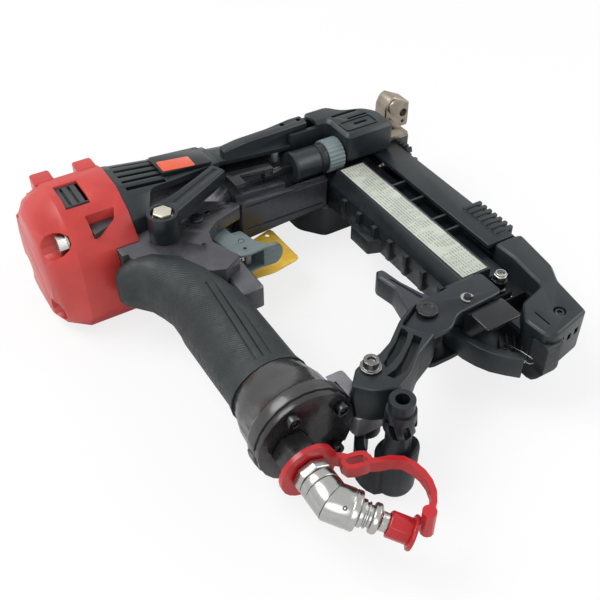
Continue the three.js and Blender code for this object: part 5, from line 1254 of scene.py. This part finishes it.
@dataclass
class Release(Assembly):
    """Bracket panel, release lever and the open clip on the bracket's pin."""

    title: str = "release"
    nodes: Nodes = (Carried("bracket_panel", SMOOTH_BLACK), Carried("release_lever", CASTING, 0.6))
    clip_place: Point = (66, -173, 18.1)
    clip_inner: float = 1.9
    clip_outer: float = 3.6
    clip_thick: float = 0.8
    clip_sweep: float = 278.0
    clip_start: float = -100.0
    clip_steps: int = 36

    def extend(self) -> None:
        """Spins the open clip round the bracket's pin."""
        Bench.clear()
        bpy.ops.mesh.primitive_plane_add(size=1, rotation=(math.pi / 2, 0, 0))
        piece = Bench.started("pin_clip")
        piece.scale = ((self.clip_outer - self.clip_inner) * MM, self.clip_thick * MM, 1)
        piece.location = ((self.clip_inner + self.clip_outer) / 2 * MM, 0, 0)
        Bench.opened(Bench.settled(piece))
        sweep = math.radians(self.clip_sweep)
        bpy.ops.mesh.spin(steps=self.clip_steps, angle=sweep, center=(0, 0, 0), axis=(0, 0, 1))
        Bench.closed(piece)
        piece.matrix_world = Matrix.Translation(at(*self.clip_place)) @ turned_by(self.clip_start, "Z")
        self.dress(Bench.settled(piece), STEEL, "frame", "steel", 0.12)


@dataclass
class Link(Assembly):
    """Link arm, its bolts, the mount and the hanger with its barrel."""

    title: str = "link"
    nodes: Nodes = (
        Carried("link_arm", NYLON, 0.6),
        Carried("link_bolt", DARK_STEEL, 0.3),
        Carried("bracket_bolt", BLACK_OXIDE, 0.3),
        Carried("grip_mount", LIGHT_CAST, 0.5),
        Carried("swivel_hanger", BLACK_METAL, 0.5),
        Carried("hanger_barrel", BLACK_METAL, 0),
    )
    channels: tuple[Pairs, ...] = (
        (
            (20.2, -177.2), (22.6, -179.4), (16.9, -184.9), (9.2, -189.9), (2.6, -192.9),
            (-1.2, -194.0), (-0.6, -190.6), (3.8, -188.2), (9.3, -185.0), (15.2, -180.6),
        ),
        (
            (24.4, -183.0), (26.0, -186.6), (20.0, -191.2), (12.6, -196.4), (6.0, -200.6),
            (-2.0, -201.6), (-4.0, -198.2), (2.4, -197.0), (8.4, -193.8), (15.4, -188.8),
        ),
    )
    channel_level: float = 15.2
    channel_height: float = 6.0
    barrel_middle: Point = (-8.6, -217, 0)
    barrel_edge: float = 0.3
    window_size: Point = (5.3, 3.4, 11.0)
    window_inner: float = 3.7
    window_level: float = 7.0
    window_turns: tuple[float, ...] = (-150.0, -100.0, -50.0)
    window_tilt: float = 16.0
    window_edge: float = 0.8
    cup_stations: Pairs = ((-38.6, 9.4), (-36.0, 10.4), (-9.4, 10.9), (-8.6, 10.3))
    cup_bore: Pairs = ((-33.0, 8.4), (0.0, 8.4))
    cup_slope: Point = (-0.2, 0.34, 1.0)
    cup_rim: float = -12.0

    def extend(self) -> None:
        """Cuts the arm's channels and the barrel's windows, and adds the hanger's cup."""
        for index, outline in enumerate(self.channels):
            tool = Bench.slab(f"channel_tool_{index}", outline, self.channel_level, self.channel_height)
            Bench.less(self.finished("link_arm"), tool)
        self.windows()
        self.cup()

    def cup(self) -> None:
        """Turns the hanger's cup round the barrel's foot, with a rim that rises away from the handle."""
        foot = at(*self.barrel_middle)
        cup = Bench.turned("barrel_cup", self.cup_stations, foot)
        cup = Bench.less(cup, Bench.turned("barrel_cup_tool", self.cup_bore, foot))
        rim = foot + Axis.Z.value * self.cup_rim * MM
        cup = Bench.halved(cup, rim, Vector(self.cup_slope).normalized())
        self.dress(cup, BLACK_METAL, "frame", "dark_metal", 0.3)

    def windows(self) -> None:
        """Cuts the slanted windows into the barrel's wall."""
        barrel = self.finished("hanger_barrel")
        depth, width, height = Vector(self.window_size) * MM
        low, high = Vector((0, -width / 2, -height / 2)), Vector((depth, width / 2, height / 2))
        out = Matrix.Translation(Vector((self.window_inner, 0, self.window_level)) * MM)
        for index, turn in enumerate(self.window_turns):
            tool = Bench.box(f"window_tool_{index}", low, high)
            place = Matrix.Translation(at(*self.barrel_middle)) @ turned_by(turn, "Z")
            tool.matrix_world = place @ out @ turned_by(self.window_tilt, "X")
            Bench.less(barrel, Bench.softened(Bench.settled(tool), self.window_edge))
        Bench.softened(barrel, self.barrel_edge)


@dataclass
class Grip(Assembly):
    """Rubber grip, its end casting and the end plate."""

    title: str = "grip"
    nodes: Nodes = (
        Carried("grip_rubber", GRIP_RUBBER, 0.5, 30),
        Carried("grip_end", BRONZED, 0.6),
        Carried("end_plate", GLOSS_PAINT, 0.5),
        *(Carried(f"plate_screw_{index}", BLACK_OXIDE, 0.3) for index in range(1, 4)),
    )


@dataclass
class Inlet(Assembly):
    """Inlet adapter, swivel, plug, and the strap with its dust cap."""

    title: str = "inlet"
    nodes: Nodes = (
        Carried("inlet_adapter", GLOSS_PAINT, 0.5), Carried("tether_strap", STRAP_RED, 0.7, 24),
    )
    swivel_top: Point = (-57, -214.9, 0)
    mitre: Point = (-57, -233.6, 0)
    roll: float = -20.0
    bend: float = 45.0
    seam: float = 0.3
    nut_stations: Pairs = ((0, 9.0), (0.7, 9.9), (5.2, 9.9), (5.8, 9.3))
    ring_stations: Pairs = ((6.0, 8.6), (6.5, 9.2), (10.6, 9.2), (11.0, 8.9))
    upper_stations: Pairs = ((11.2, 9.0), (11.5, 9.3), (26.0, 9.3))
    lower_stations: Pairs = (
        (-9.0, 9.5), (8.4, 9.5), (8.6, 9.2), (9.0, 9.2), (9.2, 9.5), (11.7, 9.5), (12.3, 8.9),
    )
    plug_start: float = 12.5
    plug_stations: Pairs = (
        (0, 6.2), (0.4, 6.6), (2.2, 6.6), (2.6, 5.6), (3.2, 5.6), (3.5, 6.2), (4.2, 6.2), (4.6, 5.2),
        (5.8, 5.2), (6.3, 6.9), (7.0, 7.2), (8.8, 7.2), (9.5, 6.6), (10.1, 5.0), (10.7, 4.5), (14.2, 4.5),
        (15.2, 4.1),
    )
    cap_stations: Pairs = ((26.4, 6.0), (26.9, 6.5), (38.0, 6.5), (38.9, 6.2))
    flange_stations: Pairs = ((36.9, 7.9), (37.3, 8.4), (38.6, 8.4), (39.0, 7.9))
    hollow_stations: Pairs = ((25.0, 4.8), (37.4, 4.8))
    screw: SocketScrew = SocketScrew(1.1, 0.3)
    screw_along: float = 5.4
    screw_reach: float = 9.35

    def extend(self) -> None:
        """Adds the swivel, its screw, the plug and the dust cap."""
        self.swivel()
        self.swivel_screw()
        self.plug()
        self.cap()

    def plug_axis(self) -> Vector:
        """Returns the direction of the plug beyond the bend."""
        turn, roll = math.radians(self.bend), math.radians(self.roll)
        return Vector((math.sin(turn) * math.cos(roll), -math.cos(turn), math.sin(turn) * math.sin(roll)))

    def swivel(self) -> None:
        """Builds the nut, the ring and the two mitred halves, which turn as one body."""
        down, ahead = Axis.DOWN_Y.value, self.plug_axis()
        top, mitre = at(*self.swivel_top), at(*self.mitre)
        nut = Bench.turned("swivel_nut", self.nut_stations, top, Sides.OCTAGON, down)
        ring = Bench.turned("swivel_ring", self.ring_stations, top, Sides.FINE, down)
        upper = Bench.turned("swivel_upper", self.upper_stations, top, Sides.FINE, down)
        lower = Bench.turned("swivel_lower", self.lower_stations, mitre, Sides.FINE, ahead)
        normal = (down + ahead).normalized()
        half_seam = normal * (self.seam / 2 * MM)
        upper = Bench.halved(upper, mitre - half_seam, normal)
        lower = Bench.halved(lower, mitre + half_seam, -normal)
        for part in (nut, ring, upper, lower):
            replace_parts(part, "swivel_body")
            self.dress(part, CHROME, "swivel", "chrome", 0.25, 30)

    def swivel_screw(self) -> None:
        """Sets the small screw into the lower half, where it faces up."""
        down, ahead = Axis.DOWN_Y.value, self.plug_axis()
        side = ahead.cross(down).normalized().cross(ahead).normalized()
        facing = side if side.z > 0 else -side
        outward = (facing + Axis.Z.value).normalized()
        outward = (outward - ahead * outward.dot(ahead)).normalized()
        seat = at(*self.mitre) + (ahead * self.screw_along + outward * self.screw_reach) * MM
        screw = self.screw.build("swivel_screw", seat, outward)
        self.dress(screw, BLACK_OXIDE, "swivel", "dark_metal", 0.12)

    def plug(self) -> None:
        """Turns the plug with its collars."""
        ahead = self.plug_axis()
        start = at(*self.mitre) + ahead * self.plug_start * MM
        piece = Bench.turned("plug_turned", self.plug_stations, start, Sides.FINE, ahead)
        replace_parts(piece, "plug_body")
        self.dress(piece, CHROME, "swivel", "chrome", 0.18, 26)

    def cap(self) -> None:
        """Turns the dust cap: a flat-sided cup with a round flange."""
        ahead, start = self.plug_axis(), at(*self.mitre)
        cup = Bench.turned("dust_cap_cup", self.cap_stations, start, Sides.OCTAGON, ahead)
        flange = Bench.turned("dust_cap_flange", self.flange_stations, start, Sides.FINE, ahead)
        hollow = Bench.turned("dust_cap_tool", self.hollow_stations, start, Sides.BARREL, ahead)
        for part in (Bench.less(cup, hollow), flange):
            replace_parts(part, "dust_cap")
            self.dress(part, STRAP_RED, "swivel", "red", 0.3, 30)


# Studio


@dataclass
class SoftLamp:
    """One large soft lamp, aimed at the tool; its place and size are in metres."""

    name: str
    place: Point
    size: float
    power: float

    def build(self, target: Vector) -> None:
        """Adds the lamp and turns it to the target.

        Args:
            target: the point that it shines at.
        """
        lamp = bpy.data.lights.new(self.name, "AREA")
        lamp.shape = "DISK"
        lamp.size = self.size
        lamp.energy = self.power
        holder = bpy.data.objects.new(self.name, lamp)
        bpy.context.scene.collection.objects.link(holder)
        holder.location = self.place
        holder.rotation_euler = (target - Vector(self.place)).to_track_quat("-Z", "Y").to_euler()


@dataclass
class Studio:
    """Pale floor, soft lamps, world light and the camera; floor and camera depth are in metres."""

    eye: Point = (-189.4, -424.7, 329.2)
    gaze: Point = (0.385, 0.636, -0.669)
    lens: float = 53.1
    sensor: float = 36.0
    nearest: float = 0.01
    floor_size: float = 12.0
    floor_colour: Colour = (0.82, 0.82, 0.82)
    floor_roughness: float = 0.9
    floor_glow: float = 0.78
    sky: Colour = (1, 1, 1)
    ambient: float = 0.55
    middle: Point = (20, -100, 0)
    lamps: tuple[SoftLamp, ...] = (
        SoftLamp("key_lamp", (-0.7, 0.5, 1.3), 1.0, 15.0),
        SoftLamp("fill_lamp", (-0.9, -1.1, 0.9), 1.2, 7.0),
        SoftLamp("side_lamp", (1.2, -0.5, 0.8), 0.9, 7.0),
    )

    def build(self) -> None:
        """Sets up the whole studio."""
        self.camera()
        self.floor()
        self.world()
        for lamp in self.lamps:
            lamp.build(at(*self.middle))
        bpy.context.scene.view_settings.view_transform = "Standard"

    def camera(self) -> None:
        """Places the camera at the photograph's angle."""
        data = bpy.data.cameras.new("camera")
        data.lens = self.lens
        data.sensor_width = self.sensor
        data.clip_start = self.nearest
        camera = bpy.data.objects.new("camera", data)
        bpy.context.scene.collection.objects.link(camera)
        ahead = Vector(self.gaze).normalized()
        right = ahead.cross(Axis.Z.value).normalized()
        turn = Matrix((right, right.cross(ahead), -ahead)).transposed().to_4x4()
        camera.matrix_world = Matrix.Translation(at(*self.eye)) @ turn
        bpy.context.scene.camera = camera

    def floor(self) -> None:
        """Lays the plain floor, nearly white to the camera but keeping the soft shadow."""
        Bench.clear()
        bpy.ops.mesh.primitive_plane_add(size=self.floor_size, location=(0, 0, 0))
        plane = Bench.started("studio_floor")
        sheet = NodeSheet("studio_floor")
        sheet.finish(self.floor_colour, self.floor_roughness)
        glow = sheet.add("Emission", {"Strength": 1.0}).outputs[0]
        seen = sheet.add("LightPath").outputs["Is Camera Ray"]
        share = sheet.sum("MULTIPLY", seen, self.floor_glow)
        mix = sheet.add("MixShader", {0: share, 1: sheet.shader.outputs[0], 2: glow})
        sheet.feed(mix.outputs[0], sheet.output.inputs["Surface"])
        plane.data.materials.append(sheet.material)

    def world(self) -> None:
        """Lights the tool evenly and shows white to the camera and in gloss."""
        world = bpy.data.worlds.new("studio")
        bpy.context.scene.world = world
        world.use_nodes = True
        wiring = Wiring(world.node_tree)
        rays = wiring.add("LightPath").outputs
        seen = wiring.sum("MAXIMUM", rays["Is Camera Ray"], rays["Is Glossy Ray"])
        seen = wiring.sum("MAXIMUM", seen, rays["Is Transmission Ray"])
        level = wiring.add("MapRange", {"Value": seen, "To Min": self.ambient, "To Max": 1.0})
        ground = world.node_tree.nodes["Background"]
        wiring.feed(level.outputs["Result"], ground.inputs["Strength"])
        wiring.feed(self.sky, ground.inputs["Color"])


def main() -> None:
    """Builds the studio and every sub-assembly in order, and reports each piece."""
    logging.basicConfig(level=logging.INFO, format="%(message)s")
    Studio().build()
    for assembly in (
        CapEnd(), Cylinder(), Housing(), BeltHook(), Nose(), TriggerSet(), Magazine(), Bracket(), Release(),
        Link(), Grip(), Inlet(),
    ):
        assembly.build()
        for piece in assembly.pieces:
            log.info("%s: %s, %d faces", assembly.title, piece.name, len(piece.data.polygons))


if __name__ == "__main__":
    main()
